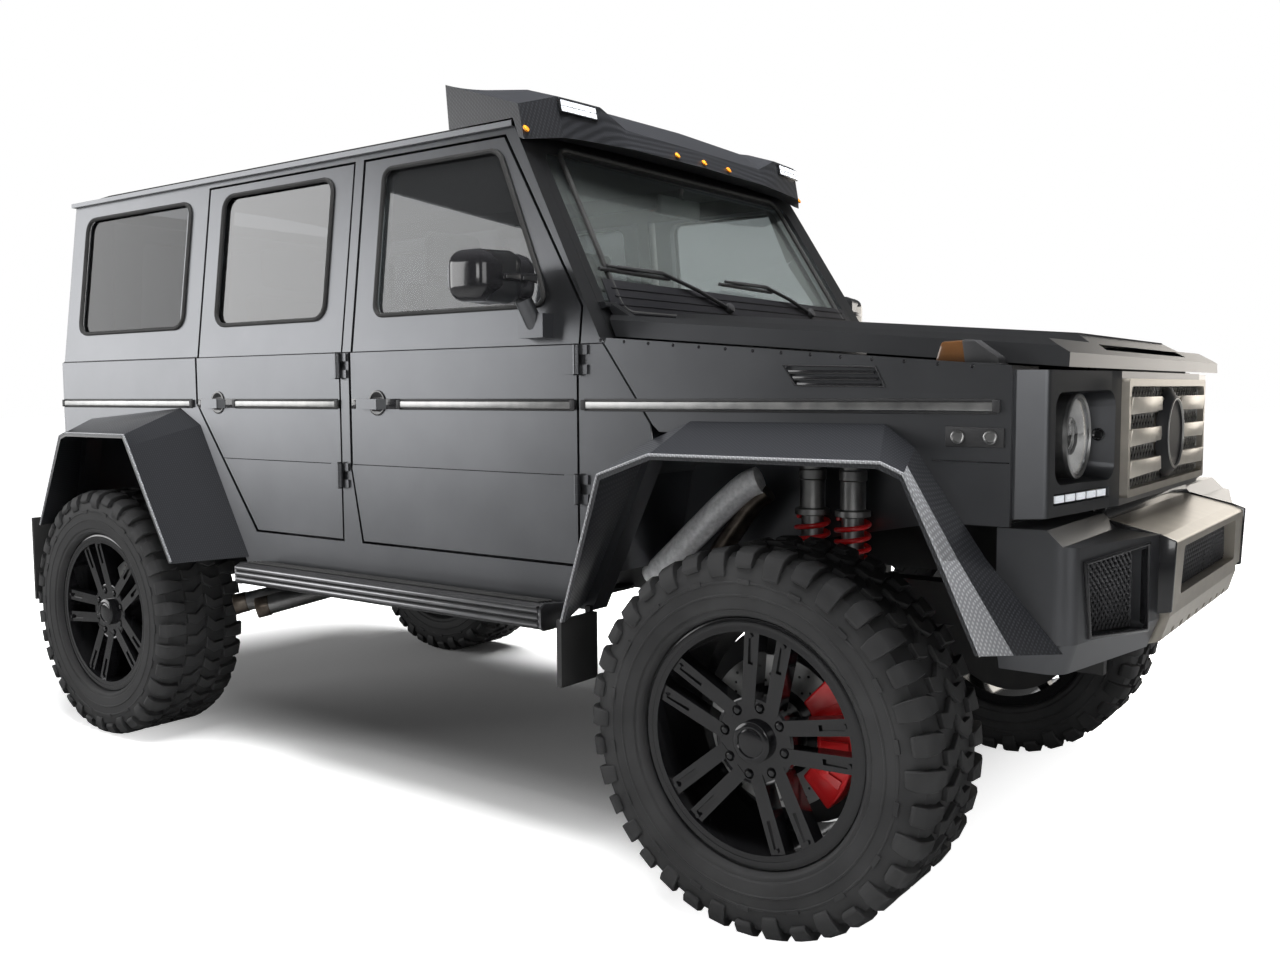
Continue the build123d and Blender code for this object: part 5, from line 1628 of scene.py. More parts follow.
@dataclass
class Bumper:
    """Meshes, frames and end plates of the front bumper and centre bar."""

    mesh_set_back: float = 24
    end_y: float = 446

    def intake(self) -> list[tuple[Work, str]]:
        """Mesh and frame of the left air intake.

        Returns:
            The works, each with its finish.
        """
        plane = [(2172, 524, 750), (2122, 800, 772), (2117, 816, 926), (2172, 524, 938)]
        corners = [at(x - self.mesh_set_back, y, z) for x, y, z in plane]
        back = slab("intake_back", [c - Vector((0.012, 0, 0)) for c in corners], (0.003, 0, 0), 0.0005)
        mesh = lattice("intake_mesh", corners, 14, 9, 0.0065)
        frame_points = [
            at(x - 2, y, z)
            for x, y, z in ((2182, 514, 740), (2129, 796, 764), (2125, 826, 934), (2182, 514, 948))
        ]
        frame_piece = Work.plate("intake_frame", frame_points)
        frame_piece.every().inset(0.008)
        frame_piece.tidy()
        frame_piece.pick(lambda f: f.calc_area() > 0.02)
        bpy.ops.mesh.delete(type="FACE")
        bpy.ops.object.mode_set(mode="OBJECT")
        frame_piece.solid(0.02, 0.0).soften(0.002)
        return [(back, "gloss_black"), (mesh, "mesh_black"), (frame_piece, "gloss_black")]

    def build(self) -> None:
        """Makes the bumper's pieces."""
        for work, finish in self.intake():
            work.both("vehicle", finish, "gloss_black")
        corners = head_on(2192, ((-350, 808), (350, 808), (336, 918), (-336, 918)))
        back = slab("bar_back", [c - Vector((0.02, 0, 0)) for c in corners], (0.003, 0, 0), 0.0005)
        back.finish("vehicle", "gloss_black", "gloss_black")
        lattice("bar_mesh", corners, 30, 5, 0.0062).finish("vehicle", "mesh_black", "gloss_black")
        ends = []
        for side in Side:
            y = side.value * self.end_y
            profile = [(2064, 988), (2196, 957), (2231, 944), (2224, 778), (2196, 772), (2064, 772)]
            start = y if side is Side.LEFT else y - 12
            ends.append(slab(f"bar_end_{side.label}", side_on(start, profile), (0, 0.012, 0), 0.003))
        joined("bar_ends", ends).finish("vehicle", "gloss_black", "gloss_black")


@dataclass
class SideTrim:
    """Bright strips, seams, rivets, vents and plates along both sides."""

    skin: float = 878
    strip_z: float = 1258

    def strips(self) -> list[Work]:
        """Aluminium strips of the left side, one to each panel.

        Returns:
            The works.
        """
        runs = [(-1904, -990), (-734, -182), (106, 800), (822, 1952)]
        parts = []
        for k, (x0, x1) in enumerate(runs):
            low, high = at(x0, self.skin, self.strip_z - 11), at(x1, self.skin + 7.5, self.strip_z + 11)
            parts.append(Work.cube(f"strip_{k}", low, high).soften(0.005, 3))
        return parts

    def caps(self, ends: Sequence[float]) -> list[Work]:
        """Black end caps and backing of the strips at the given stations.

        Args:
            ends: stations of the strips' ends.

        Returns:
            The works.
        """
        y, z = self.skin, self.strip_z
        backing = Work.cube("backing", at(ends[0], y - 1, z - 17), at(ends[1], y + 2.5, z + 17))
        parts = [backing.soften(0.001, 2)]
        for k, x in enumerate(ends):
            cap = Work.cube(f"cap_{k}", at(x - 9, y, z - 14), at(x + 9, y + 9, z + 14))
            parts.append(cap.soften(0.003, 2))
        return parts

    def rivets(self, points: Sequence[Point]) -> Work:
        """Domed rivet heads on the left side.

        Args:
            points: station and height of each rivet.

        Returns:
            The work.
        """
        parts = []
        for k, (x, y, z) in enumerate(points):
            head = Work.ring(f"rivet_{k}", at(x, y, z), 0.0052, (0, 1, 0), 12)
            head.every().extrude((0, 0.0022, 0))
            head.pick(facing((0, 1, 0), 0.95)).scale((0.6, 1, 0.6), at(x, y, z))
            parts.append(head.tidy())
        return joined("wing_rivets", parts)

    def vent(self) -> list[tuple[Work, str]]:
        """Slatted vent and the plain plate with two screws on the left wing.

        Returns:
            The works, each with its finish.
        """
        slats = []
        for k in range(3):
            z, shift = 1338 - 15 * k, 12 * k
            corners = [
                (1456 + shift, z - 5 - 0.5 * k), (1672 + shift * 0.6, z - 8), (1676 + shift * 0.6, z),
                (1452 + shift, z + 5)
            ]
            slats.append(slab(f"vent_slat_{k}", side_on(874, corners)[::-1], (0, 0.007, 0), 0.0015))
        joined("vent_slat_0", slats)
        edge = [(1438, 1354), (1675, 1346), (1699, 1301), (1471, 1307)]
        ring = tube("vent_edge", side_on(878.5, edge), 0.0028, 8, True)
        plate = slab(
            "wing_plate", side_on(877, ((1843, 1216), (1973, 1212), (1973, 1170), (1843, 1170)))[::-1],
            (0, 0.006, 0), 0.004
        )
        screws = []
        for x in (1872, 1944):
            screw = Work.line(
                "screw",
                [
                    at(x, 878 + d, 1192 + r)
                    for d, r in ((0, 15), (9, 15), (10, 13), (9, 11), (7, 10), (8, 4), (7, 0))
                ]
            )
            screws.append(screw.spin(at(x, 880, 1192), (0, 1, 0), 24))
        joined("screw", screws)
        return [
            (slats[0], "gloss_black"), (ring, "black_plastic"), (plate, "black_plastic"),
            (screws[0], "bare_metal")
        ]

    def build(self) -> None:
        """Makes the trim of the left side and mirrors it."""
        rear, rear_door, front_door, wing = self.strips()
        carriers = [
            (rear, "vehicle", (-1896, -998)), (rear_door, "rear_door_{side}", (-738, -190)),
            (front_door, "front_door_{side}", (102, 792)), (wing, "vehicle", (830, 1955)),
        ]
        for k, (strip, body, ends) in enumerate(carriers):
            caps = joined(f"trim_cap_{k}", self.caps(ends))
            strip.obj.name = f"trim_strip_{k}"
            strip.both(body, "bare_metal", "steel")
            caps.both(body, "black_plastic", "black_plastic")
        s = self.skin
        seams = [
            ("seam_rear_belt", "vehicle", [(-1904, s - 7, BELT_Z), (-966, s - 7, BELT_Z)]),
            ("seam_rear_door_crease", "rear_door_{side}", [(-824, s, 1066), (-184, s, 1066)]),
            ("seam_front_door_crease", "front_door_{side}", [(-120, s, 1066), (800, s, 1066)]),
            ("seam_wing_joint", "vehicle", [(892, s, BELT_Z), (1048, s, 1210), (1058, s, 1160)]),
            ("seam_wing_low", "vehicle", [(1812, s, 1140), (1984, s, 1138)]),
        ]
        for name, body, points in seams:
            tube(name, [at(*p) for p in points], 0.0016, 6).both(body, "gloss_black", "gloss_black")
        row = [(886 + step, 877.5, 1447 - (60 + step) * 0.0844 - 12) for step in range(0, 14 * 78, 78)]
        self.rivets(row).both("vehicle", "gloss_black", "gloss_black")
        for work, finish in self.vent():
            work.both("vehicle", finish, "black_plastic")


# Roof, windows and mirrors


@dataclass
class LightBar:
    """Lamp pods and marker lamps of the visor over the screen."""

    marker_ys: tuple[float, ...] = (-800, -156, 0, 156, 800)

    def pod(self) -> list[tuple[Work, str]]:
        """Light pod on the left shoulder of the visor, with two rows of light cells.

        Returns:
            The works, each with its finish.
        """
        corners = [
            at(self.front(y, z) + 1, y, z)
            for y, z in ((545, 2094), (705, 2094), (705, 2135), (545, 2135))
        ]
        out = Vector((0.98, 0.08, 0.19))
        tray = slab("pod_tray", corners, tuple(out * 0.005), 0.0015)
        cells = []
        for row in range(2):
            for k in range(6):
                a, b = 0.1 + 0.42 * row, 0.1 + 0.42 * row + 0.37
                c, d = 0.04 + 0.155 * k, 0.04 + 0.155 * k + 0.14
                points = [spread(corners, u, v) + out * 0.005 for u, v in ((a, c), (a, d), (b, d), (b, c))]
                cell = slab(f"pod_cell_{row}_{k}", points, tuple(out * 0.003), 0.001)
                cell.pick(facing(out)).inset(0.0035, -0.002)
                cells.append(cell.tidy())
        return [(tray, "gloss_black"), (joined("pod_cells", cells), "led")]

    def front(self, y: float, z: float) -> float:
        """Station of the visor's front face."""
        return 640 - (abs(y) - 400) * 0.08 - (z - 2036) * 0.196

    def marker(self, name: str, y: float) -> Work:
        """Small amber marker lamp on the visor's front edge."""
        x, z = (640 - abs(y) * 0.013, 2052) if abs(y) < 700 else (560, 2036)
        return boss(name, at(x, y, z), 0.011, (0.8, 0, 0.5), (0.006, 0, 0.003), 16, (0.003, 2))

    def build(self) -> None:
        """Makes the pods and markers."""
        for work, finish in self.pod():
            work.both("vehicle", finish, "lamp" if finish == "led" else "gloss_black")
        markers = [self.marker(f"marker_{k}", y) for k, y in enumerate(self.marker_ys)]
        joined("marker_lamps", markers).finish("vehicle", "amber", "lamp")


def spread(corners: Sequence[Vector], u: float, v: float) -> Vector:
    """Point inside four corners at shares u and v along their sides."""
    a, b, c, d = corners
    return a.lerp(d, u).lerp(b.lerp(c, u), v)


def seal(name: str, corners: Sequence[Vector], corner_radius: float, width: float, body: str) -> None:
    """Rubber seal that follows a window's rounded outline, on both sides of the vehicle."""
    tube(name, rounded_loop(corners, corner_radius), width, 8, True).both(body, "rubber", "rubber")


@dataclass
class Windows:
    """Seals of the side windows and the screen, cowl, wipers, inner mirror and door linings."""

    low_z: float = 1534
    high_z: float = 1992
    screen_low: Point = (872, 1440)
    screen_rise: float = 614
    screen_lean: float = 360
    wall_lean: float = 76

    def wall(self, x: float, z: float, out: float = 0.0) -> Vector:
        """Point on the slanting upper wall."""
        share = (z - BELT_Z) / (RAIL_Z - BELT_Z)
        return at(x, 868 - self.wall_lean * share + out, z)

    def outlines(self) -> dict[str, tuple[str, list[Point]]]:
        """Corners of each left side window, with the body that carries it.

        Returns:
            For each window its body and corners.
        """
        low, high = self.low_z, self.high_z
        return {
            "quarter": ("vehicle", [(-1797, low), (-1078, low), (-1078, high), (-1797, high)]),
            "rear_door": ("rear_door_{side}", [(-873, low), (-275, low), (-275, high), (-873, high)]),
            "front_door": (
                "front_door_{side}", [(-30, low), (676, low), (655, 1600), (458, high), (-30, high)]
            ),
        }

    def on_screen(self, y: float, z: float, out: float) -> Vector:
        """Point at a distance above the windscreen's plane.

        Args:
            y: distance from the middle.
            z: height of the point's foot.
            out: distance above the glass.

        Returns:
            The point.
        """
        x0, z0 = self.screen_low
        share = (z - z0) / self.screen_rise
        return at(x0 - self.screen_lean * share + 0.863 * out, y, z + 0.506 * out)

    def cowl(self) -> None:
        """Louvred panel below the windscreen's glass."""
        edge = [self.on_screen(y, z, 3) for y, z in ((-762, 1472), (762, 1472), (736, 1596), (-736, 1606))]
        panel = slab("cowl_panel", edge, (0.0043, 0, 0.0025), 0.002)
        ribs = []
        for k in range(4):
            z = 1508 + 24 * k
            ribs.append(
                tube(f"cowl_rib_{k}", [self.on_screen(-712, z, 7), self.on_screen(712, z, 7)], 0.0035, 6)
            )
        panel.join(ribs).finish("vehicle", "boss_black", "black_plastic")

    def screen(self) -> None:
        """Seal, wipers and inner mirror of the windscreen."""
        x0, z0 = self.screen_low
        edge = [
            at(x0 - self.screen_lean * share + 2, y, z0 + self.screen_rise * share)
            for y, share in ((-700, 0.12), (700, 0.12), (640, 0.93), (-640, 0.93))
        ]
        tube("screen_seal", rounded_loop(edge, 0.04), 0.008, 8, True).finish("vehicle", "rubber", "rubber")
        self.wipers()
        glass = Work.cube("inner_mirror", at(520, -120, 1878), at(545, 120, 1946)).soften(0.01, 3)
        stalk = bar("mirror_stalk", at(535, 0, 1930), at(548, 0, 1978), 0.009)
        glass.join([stalk]).finish("vehicle", "black_plastic", "black_plastic")

    def wipers(self) -> None:
        """Arms, blades, spines and pivot caps of the two wipers."""
        on = self.on_screen
        blades = []
        lift = Vector((0.0129, 0, 0.0076))
        for k, (foot_y, foot_z, near, far) in enumerate(((-128, 1548, -430, -728), (430, 1560, 190, -100))):
            foot = on(foot_y, foot_z, 14)
            elbow, tip = on(near, 1640, 16), on(far + 90, 1642, 12)
            blades.append(
                tube(f"wiper_arm_{k}", [foot, foot.lerp(elbow, 0.5) + lift * 0.4, elbow, tip], 0.0065, 8)
            )
            blades.append(tube(f"wiper_blade_{k}", [on(near + 40, 1628, 8), on(far, 1634, 8)], 0.006, 8))
            blades.append(
                tube(f"wiper_spine_{k}", [on(near + 20, 1636, 16), on(far + 30, 1640, 16)], 0.0045, 8)
            )
            blades.append(boss(f"wiper_cap_{k}", foot - lift, 0.017, lift, lift * 1.8, 20, (0.004, 2)))
        joined("wipers", blades).finish("vehicle", "black_plastic", "black_plastic")

    def build(self) -> None:
        """Makes the seals and the screen's pieces."""
        for name, (body, points) in self.outlines().items():
            seal(f"seal_{name}", [self.wall(x, z, 2) for x, z in points], 0.05, 0.0075, body)
        self.screen()
        self.cowl()
        self.linings()

    def lining(self, name: str, start: Point, end: Point, half: float) -> Work:
        """Flat rubber strip inside the left wall, behind a door's gap.

        Args:
            name: name of the piece.
            start: one end, in x and z.
            end: the other end.
            half: half its width.

        Returns:
            The work.
        """
        along = Vector((end[0] - start[0], end[1] - start[1])).normalized() * half
        corners = []
        for (x, z), turn in ((start, 1), (start, -1), (end, -1), (end, 1)):
            a, b = x - turn * along.y, z + turn * along.x
            share = max(0.0, (b - BELT_Z) / (RAIL_Z - BELT_Z))
            corners.append(at(a, 806 - (2 if share else 0) - self.wall_lean * share, b))
        return slab(name, corners, (0, -0.005, 0), 0.0015)

    def linings(self) -> None:
        """Rubber strips that close the door gaps from inside."""
        post, rear, front, belt, low, top = -153, -974, 808, BELT_Z, 832, 2030
        runs = [((post, low), (post, belt)), ((post, belt), (post, top)), ((rear, belt), (rear, top))]
        runs += [((front, low), (front, belt)), ((rear - 6, top), (480, top)), ((rear, 1120), (rear, belt))]
        runs += [((front, belt), (560, 1800)), ((560, 1800), (470, top))]
        strips = [self.lining(f"door_lining_{k}", a, b, 30) for k, (a, b) in enumerate(runs)]
        joined("door_linings", strips).both("vehicle", "rubber", "rubber")


@dataclass
class DoorMirror:
    """Rounded gloss shells of the two door mirrors, with indicator strips and glass."""

    inner_y: float = 893
    outer_y: float = 1133
    middle_z: float = 1600

    def shell(self) -> Work:
        """Left mirror shell: a box tapered towards both ends, its edges rounded.

        Returns:
            The work.
        """
        inner, outer, z = self.inner_y, self.outer_y, self.middle_z
        work = Work.cube("mirror_shell", at(553, inner, z - 76), at(707, outer, z + 76))
        work.pick(facing((0, 1, 0))).scale((0.9, 1, 0.9), at(600, outer, z))
        work.pick(facing((0, -1, 0))).scale((0.86, 1, 0.86), at(600, inner, z))
        work.every("EDGE")
        work.bevel(0.042, 6)
        bpy.ops.object.mode_set(mode="OBJECT")
        return work.tidy()

    def build(self) -> None:
        """Makes the left mirror and its image."""
        shell = self.shell()
        low, high = self.middle_z - 34, self.middle_z + 34
        outline = [(945, low), (1090, low), (1102, low + 12), (1102, high - 12)]
        outline += [(1090, high), (945, high), (933, high - 12), (933, low + 12)]
        glass = slab("mirror_glass", head_on(551.5, outline), (0.003, 0, 0), 0.001)
        edge = ((709, 930, 1585), (709, 1062, 1588), (708, 1060, 1603), (709, 930, 1612))
        strip = slab("mirror_indicator", [at(*point) for point in edge], (0.004, 0, 0), 0.001)
        blades = []
        for k in range(2):
            start, end = 936 + 64 * k, 990 + 64 * k
            corners = head_on(713, ((start, 1590), (end, 1591), (end, 1600), (start, 1606)))
            blades.append(slab(f"blade_{k}", corners, (0.003, 0, 0), 0.001))
        table = [
            (shell, "gloss_black", "gloss_black"), (glass, "mirror", "glass"),
            (strip, "gloss_black", "gloss_black"), (joined("mirror_lamp", blades), "satin", "lamp"),
        ]
        for work, finish, slot in table:
            work.both("front_door_{side}", finish, slot, 50)


# Under the body


@dataclass
class Step:
    """Bright ribs, tread pads and end caps of the side steps."""

    rear_x: float = -600
    front_x: float = 765
    outer_y: float = 1000
    low_z: float = 652

    def ribs(self) -> list[Work]:
        """Three satin ribs along the left step's outer edge.

        Returns:
            The works.
        """
        parts = []
        for k in range(3):
            z = self.low_z + 18 + 19 * k
            points = [at(x, self.outer_y - 6.5, z) for x in (self.rear_x + 6, self.front_x - 6)]
            parts.append(bar(f"step_rib_{k}", points[0], points[1], 0.0078, 16))
        return parts

    def pads(self) -> list[Work]:
        """Raised rubber ridges on the left step's deck.

        Returns:
            The works.
        """
        parts = []
        for k in range(4):
            y = 906 + 17 * k
            ridge = Work.cube(
                f"step_ridge_{k}", at(self.rear_x + 30, y, 716 + 1.6 * k),
                at(self.front_x - 30, y + 8, 722.5 + 1.6 * k)
            )
            parts.append(ridge.soften(0.002, 2))
        return parts

    def caps(self) -> list[Work]:
        """Satin end caps of the left step.

        Returns:
            The works.
        """
        profile = [(890, 662), (890, 717), (974, 724), (996, 712), (996, 662), (982, 650), (902, 650)]
        return [
            slab(f"step_cap_{name}", head_on(x, profile), (0.012, 0, 0), 0.003)
            for name, x in (("rear", self.rear_x - 3), ("front", self.front_x - 9))
        ]

    def build(self) -> None:
        """Makes the left step's pieces and mirrors them."""
        for name, parts, finish, slot in (
            ("step_ribs", self.ribs(), "satin", "steel"), ("step_pads", self.pads(), "rubber", "rubber"),
            ("step_caps", self.caps(), "satin", "steel"),
        ):
            joined(name, parts).both("vehicle", finish, slot)


@dataclass
class Arch:
    """Heat-wrapped pipes inside the front arches, back plates of the brakes, and painted highlights along the
    flares' lips.
    """

    lip_y: float = 1049
    rear_plate_body: str = "vehicle"

    def wrap(self, side: Side) -> None:
        """Silver heat-shield sleeve and its pipe behind one front wheel's struts.

        Args:
            side: side of the vehicle.
        """
        y = side.value
        path = [
            (894, 655, 766), (974, 658, 838), (1054, 657, 912), (1130, 654, 982), (1200, 648, 1040),
            (1236, 640, 1056)
        ]
        work = tube(
            f"heat_sleeve_{side.label}", smoothed([at(x, y * a, z) for x, a, z in path], 8), 0.039, 16
        )
        work.finish("vehicle", "foil", "steel", 60)
        lower = [(1100, 628, 850), (1150, 628, 915), (1205, 628, 985), (1250, 622, 1024)]
        pipe = tube(
            f"turbo_pipe_{side.label}", smoothed([at(x, y * a, z) for x, a, z in lower], 8), 0.028, 16
        )
        pipe.finish("vehicle", "burnt_steel", "steel", 60)

    def back_plate(self, wheel_x: float, body: str) -> None:
        """Dished dark plates behind the two brake discs of one axle.

        Args:
            wheel_x: station of the axle.
            body: carrying body; a side's name in braces is filled in.
        """
        place = "front" if wheel_x > 0 else "rear"
        profile = [
            (809, 98), (806, 180), (800, 222), (790, 252), (786, 252), (796, 220), (802, 180), (805, 98),
            (809, 98)
        ]
        points = [at(wheel_x, y, HUB_MM + r) for y, r in profile]
        work = Work.line(f"back_plate_{place}", points).spin(at(wheel_x, 0, HUB_MM), (0, 1, 0), 48)
        work.both(body, "chassis", "chassis")

    def lips(self) -> None:
        """Beads along the flares' lips and a woven band on each front flare's front leg, both light as
        painted highlights: the bead for the lip edges' bright line, the band for the leg's lit face.
        """
        front = [(884, 700), (1007, 1087), (1164, 1141), (1768, 1141), (1820, 1119), (1906, 943), (1991, 757)]
        rear = [(-1800, 781), (-1620, 1135), (-1578, 1148), (-1171, 1147), (-1141, 1104), (-896, 708)]
        for name, points in (("front", front), ("rear", rear)):
            # painted highlight: light fibre bead that stands for the bright line of light along each lip edge
            bead = tube(f"flare_bead_{name}", side_on(self.lip_y, points), 0.0038, 8)
            bead.both("vehicle", "fibre_edge", "black_plastic")
        edge, root = front[4:], [(1773, 1166), (1936, 932), (2104, 744)]
        out = Vector((0.0012, 0.0018, 0.0012))
        strips = []
        for k in range(2):
            corners = []
            for m, share in ((k, 0.02), (k + 1, 0.02), (k + 1, 0.36 + 0.03 * k), (k, 0.3 + 0.06 * k)):
                (a, b), (c, d) = edge[m], root[m]
                corners.append(at(a + share * (c - a), self.lip_y + 1 - 171 * share, b + share * (d - b)))
            # painted highlight: light woven band that stands for the lit face of the front leg
            strips.append(slab(f"flare_band_{k}", [p + out * 0.4 for p in corners], out, 0.0006))
        joined("flare_band", strips).both("vehicle", "fibre_edge", "black_plastic")

    def build(self) -> None:
        """Makes the pieces on both sides."""
        self.lips()
        for side in Side:
            self.wrap(side)
        self.back_plate(AXLE_X, "knuckle_{side}")
        self.back_plate(-AXLE_X, self.rear_plate_body)


def smoothed(points: Sequence[Vector], count: int) -> list[Vector]:
    """Points along a soft curve through the given ones.

    Args:
        points: points that the curve passes.
        count: points between two neighbours.

    Returns:
        The curve's points.
    """
    padded = [points[0] * 2 - points[1], *points, points[-1] * 2 - points[-2]]
    result = []
    for a, b, c, d in zip(padded, padded[1:], padded[2:], padded[3:]):
        for k in range(count):
            t = k / count
            bend = (2 * a - 5 * b + 4 * c - d) * t * t + (3 * b - a - 3 * c + d) * t ** 3
            result.append(0.5 * (2 * b + (c - a) * t + bend))
    return result + [points[-1]]


@dataclass
class Exhausts:
    """Tips of the side pipes."""

    tips_x: tuple[float, ...] = (-661, -789)
    radius: float = 0.036
    wall: float = 0.003

    def build(self) -> None:
        """Makes the four rolled tips."""
        tips = []
        for tip_x in self.tips_x:
            start, end = at(tip_x + 26, 836, 552), at(tip_x - 4, 868, 542)
            run = (end - start).normalized()
            tip = Work.ring("tip", start, self.radius, run, 32, "NOTHING")
            tip.every("EDGE")
            bpy.ops.mesh.extrude_edges_move(TRANSFORM_OT_translate={"value": tuple(end - start)})
            tip.tidy()
            tips.append(tip.solid(self.wall).soften(0.001, 2))
        joined("exhaust_tips", tips).both("vehicle", "burnt_steel", "steel", 50)


# Cabin


@dataclass
class Seats:
    """Leather seats whose pads are inflated as cloth, with piping sewn round them."""

    front_x: float = -58
    rear_x: float = -920
    side_y: float = 380
    depth: float = 500
    floor_z: float = 800
    travel: float = 0.014

    def form(self, name: str, profile: Sequence[Point], y: tuple[float, float], edge: float = 0.034) -> Work:
        """Closed pad from its side profile.

        Args:
            name: name of the piece.
            profile: side profile in x and z, millimetres.
            y: its two sides.
            edge: size of its rounded edges, in metres.
        """
        work = Work.plate(name, side_on(y[0], profile))
        work.every().extrude((0, (y[1] - y[0]) / 1000, 0))
        work.tidy()
        work.soften(edge, 3, 25)
        return self.inflate(work)

    def inflate(self, work: Work) -> Work:
        """Swells a pad by cloth simulation and caps how far each point may move.

        Args:
            work: the pad's form.

        Returns:
            The pad with the result applied.
        """
        obj, scene = work.obj, bpy.context.scene
        Work.fresh()
        obj.select_set(True)
        bpy.context.view_layer.objects.active = obj
        skin = obj.modifiers.new("skin", "REMESH")
        skin.mode, skin.voxel_size = "VOXEL", 0.012
        bpy.ops.object.modifier_apply(modifier=skin.name)
        start = [v.co.copy() for v in obj.data.vertices]
        cloth = obj.modifiers.new("cloth", "CLOTH")
        cloth.settings.use_pressure, cloth.settings.uniform_pressure_force = True, 4.0
        cloth.settings.effector_weights.gravity = 0.0
        cloth.point_cache.frame_start, cloth.point_cache.frame_end = 1, 20
        for number in range(1, 21):
            scene.frame_set(number)
        bpy.ops.object.modifier_apply(modifier=cloth.name)
        scene.frame_set(1)
        for vertex, place in zip(obj.data.vertices, start):
            move = vertex.co - place
            if move.length > self.travel:
                vertex.co = place + move * (self.travel / move.length)
        fold = obj.modifiers.new("fold", "SUBSURF")
        fold.levels = fold.render_levels = 1
        bpy.ops.object.modifier_apply(modifier=fold.name)
        return work

    def sewn(self, pad: Work, line: Sequence[Vector], lift: float = 0.0) -> list[Vector]:
        """Points of a line laid on a pad's surface, lifted off it by a distance.

        Args:
            pad: the pad.
            line: points near its surface.
            lift: distance off it, in metres.

        Returns:
            The points on the surface.
        """
        points = []
        for point in line:
            hit, place, normal, _ = pad.obj.closest_point_on_mesh(point)
            points.append(place + normal * lift if hit else point)
        return points

    def seams(self, pad: Work, name: str, k: int, loop: Sequence[Vector]) -> list[Work]:
        """Piping round a pad and two channels across it.

        Args:
            pad: the pad.
            name: start of the pieces' names.
            k: number of the pad.
            loop: the four corners of the piping.

        Returns:
            The works.
        """
        piping = [a.lerp(b, m / 12) for a, b in zip(loop, [*loop[1:], loop[0]]) for m in range(12)]
        works = [tube(f"{name}_piping_{k}", self.sewn(pad, piping, 0.001), 0.0038, 8, True)]
        for share in (0.33, 0.66):
            start, end = loop[0].lerp(loop[1], share), loop[3].lerp(loop[2], share)
            line = [start.lerp(end, m / 16) for m in range(17)]
            works.append(tube(f"{name}_channel_{k}_{share}", self.sewn(pad, line), 0.0026, 6))
        return works

    def seat(
        self, name: str, x: float, middle: float, half: float, heads: Sequence[float], head_half: float
    ) -> list[Work]:
        """Pads, piping and channels of one seat.

        Args:
            name: start of its pieces' names.
            x: where its cushion starts.
            middle: middle of its width.
            half: half its width.
            heads: middles of its head rests.
            head_half: half a head rest's width.

        Returns:
            The works: all pads joined, and all piping joined.
        """
        def outline(*shares: Point) -> list[Point]:
            """Side profile from shares of the seat's depth and heights over the floor."""
            return [(x + share * self.depth, self.floor_z + rise) for share, rise in shares]

        y0, y1 = middle - half + 10, middle + half - 10
        cushion = outline((0.016, 222), (1, 242), (1, 284), (0.96, 348), (-0.02, 314))
        back = outline((-0.02, 300), (0.19, 322), (-0.12, 876), (-0.27, 876), (-0.29, 838))
        head = outline((-0.13, 894), (-0.145, 1048), (-0.27, 1048), (-0.26, 894))
        pads = [
            self.form(f"{name}_cushion", cushion, (y0, y1)),
            self.form(f"{name}_back", back, (y0 + 8, y1 - 8)),
        ]
        threads = []
        sewing = ((26, outline((0.93, 352), (0.06, 326))), (36, outline((0.18, 352), (-0.1, 850))))
        for k, (pad, (margin, ((a, b), (c, d)))) in enumerate(zip(list(pads), sewing)):
            near, far = y0 + margin, y1 - margin
            threads += self.seams(
                pad, name, k, [at(a, near, b), at(a, far, b), at(c, far, d), at(c, near, d)]
            )
        for k, head_y in enumerate(heads):
            sides = (head_y - head_half + 8, head_y + head_half - 8)
            pads.append(self.form(f"{name}_head_{k}", head, sides, 0.026))
        (rear, low), (front, high) = outline((0.11, 26), (0.87, 232))
        base = Work.cube(
            f"{name}_base", at(rear, middle - half + 62, low), at(front, middle + half - 62, high)
        )
        return [pads[0].join(pads[1:]), threads[0].join(threads[1:]), base.soften(0.01, 2)]

    def build(self) -> None:
        """Makes the left front seat, its mirror image and the rear bench."""
        left = self.seat("front_seat", self.front_x, self.side_y, 250, (self.side_y,), 130)
        right = [work.mirror(f"{work.obj.name}_right") for work in left]
        bench = self.seat("rear_bench", self.rear_x, 0, 640, (-430, 0, 430), 120)
        for works, node in ((left, "front_seats"), (right, "front_seats"), (bench, "rear_seat")):
            pads, seams, base = (work.finish("vehicle", finish, slot, 50) for work, finish, slot in zip(
                works, ("leather", "leather_edge", "black_plastic"), ("leather", "leather", "leather")))
            if works is not right:
                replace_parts(pads, node)


@dataclass
class Cockpit:
    """Steering wheel's grip and boss, and the hood over the dials."""

    tilt_deg: float = 24
    grip_radius: float = 0.185

    def build(self) -> None:
        """Makes the grip, the boss pad and the instrument hood."""
        centre, tilt, reach = at(450, 380, 1370), math.radians(self.tilt_deg), self.grip_radius
        axis = Vector((math.cos(tilt), 0, math.sin(tilt)))
        turn = axis.to_track_quat("Z", "Y").to_matrix()
        circle = []
        for k in range(48):
            angle = 2 * math.pi * k / 48
            circle.append(centre + turn @ Vector((reach * math.cos(angle), reach * math.sin(angle), 0)))
        tube("steering_grip", circle, 0.0172, 16, True).finish("vehicle", "leather_edge", "leather", 60)
        pad = boss("steering_boss", centre - axis * 0.024, 0.058, -axis, -axis * 0.012, 32, (0.005, 3))
        pad.finish("vehicle", "black_plastic", "black_plastic")
        hood_profile = [(560, 1466), (566, 1500), (620, 1512), (700, 1492), (704, 1484)]
        cover = slab("dial_hood", side_on(240, hood_profile)[::-1], (0, 0.28, 0), 0.008)
        cover.finish("vehicle", "black_plastic", "black_plastic")


# Rear and fittings


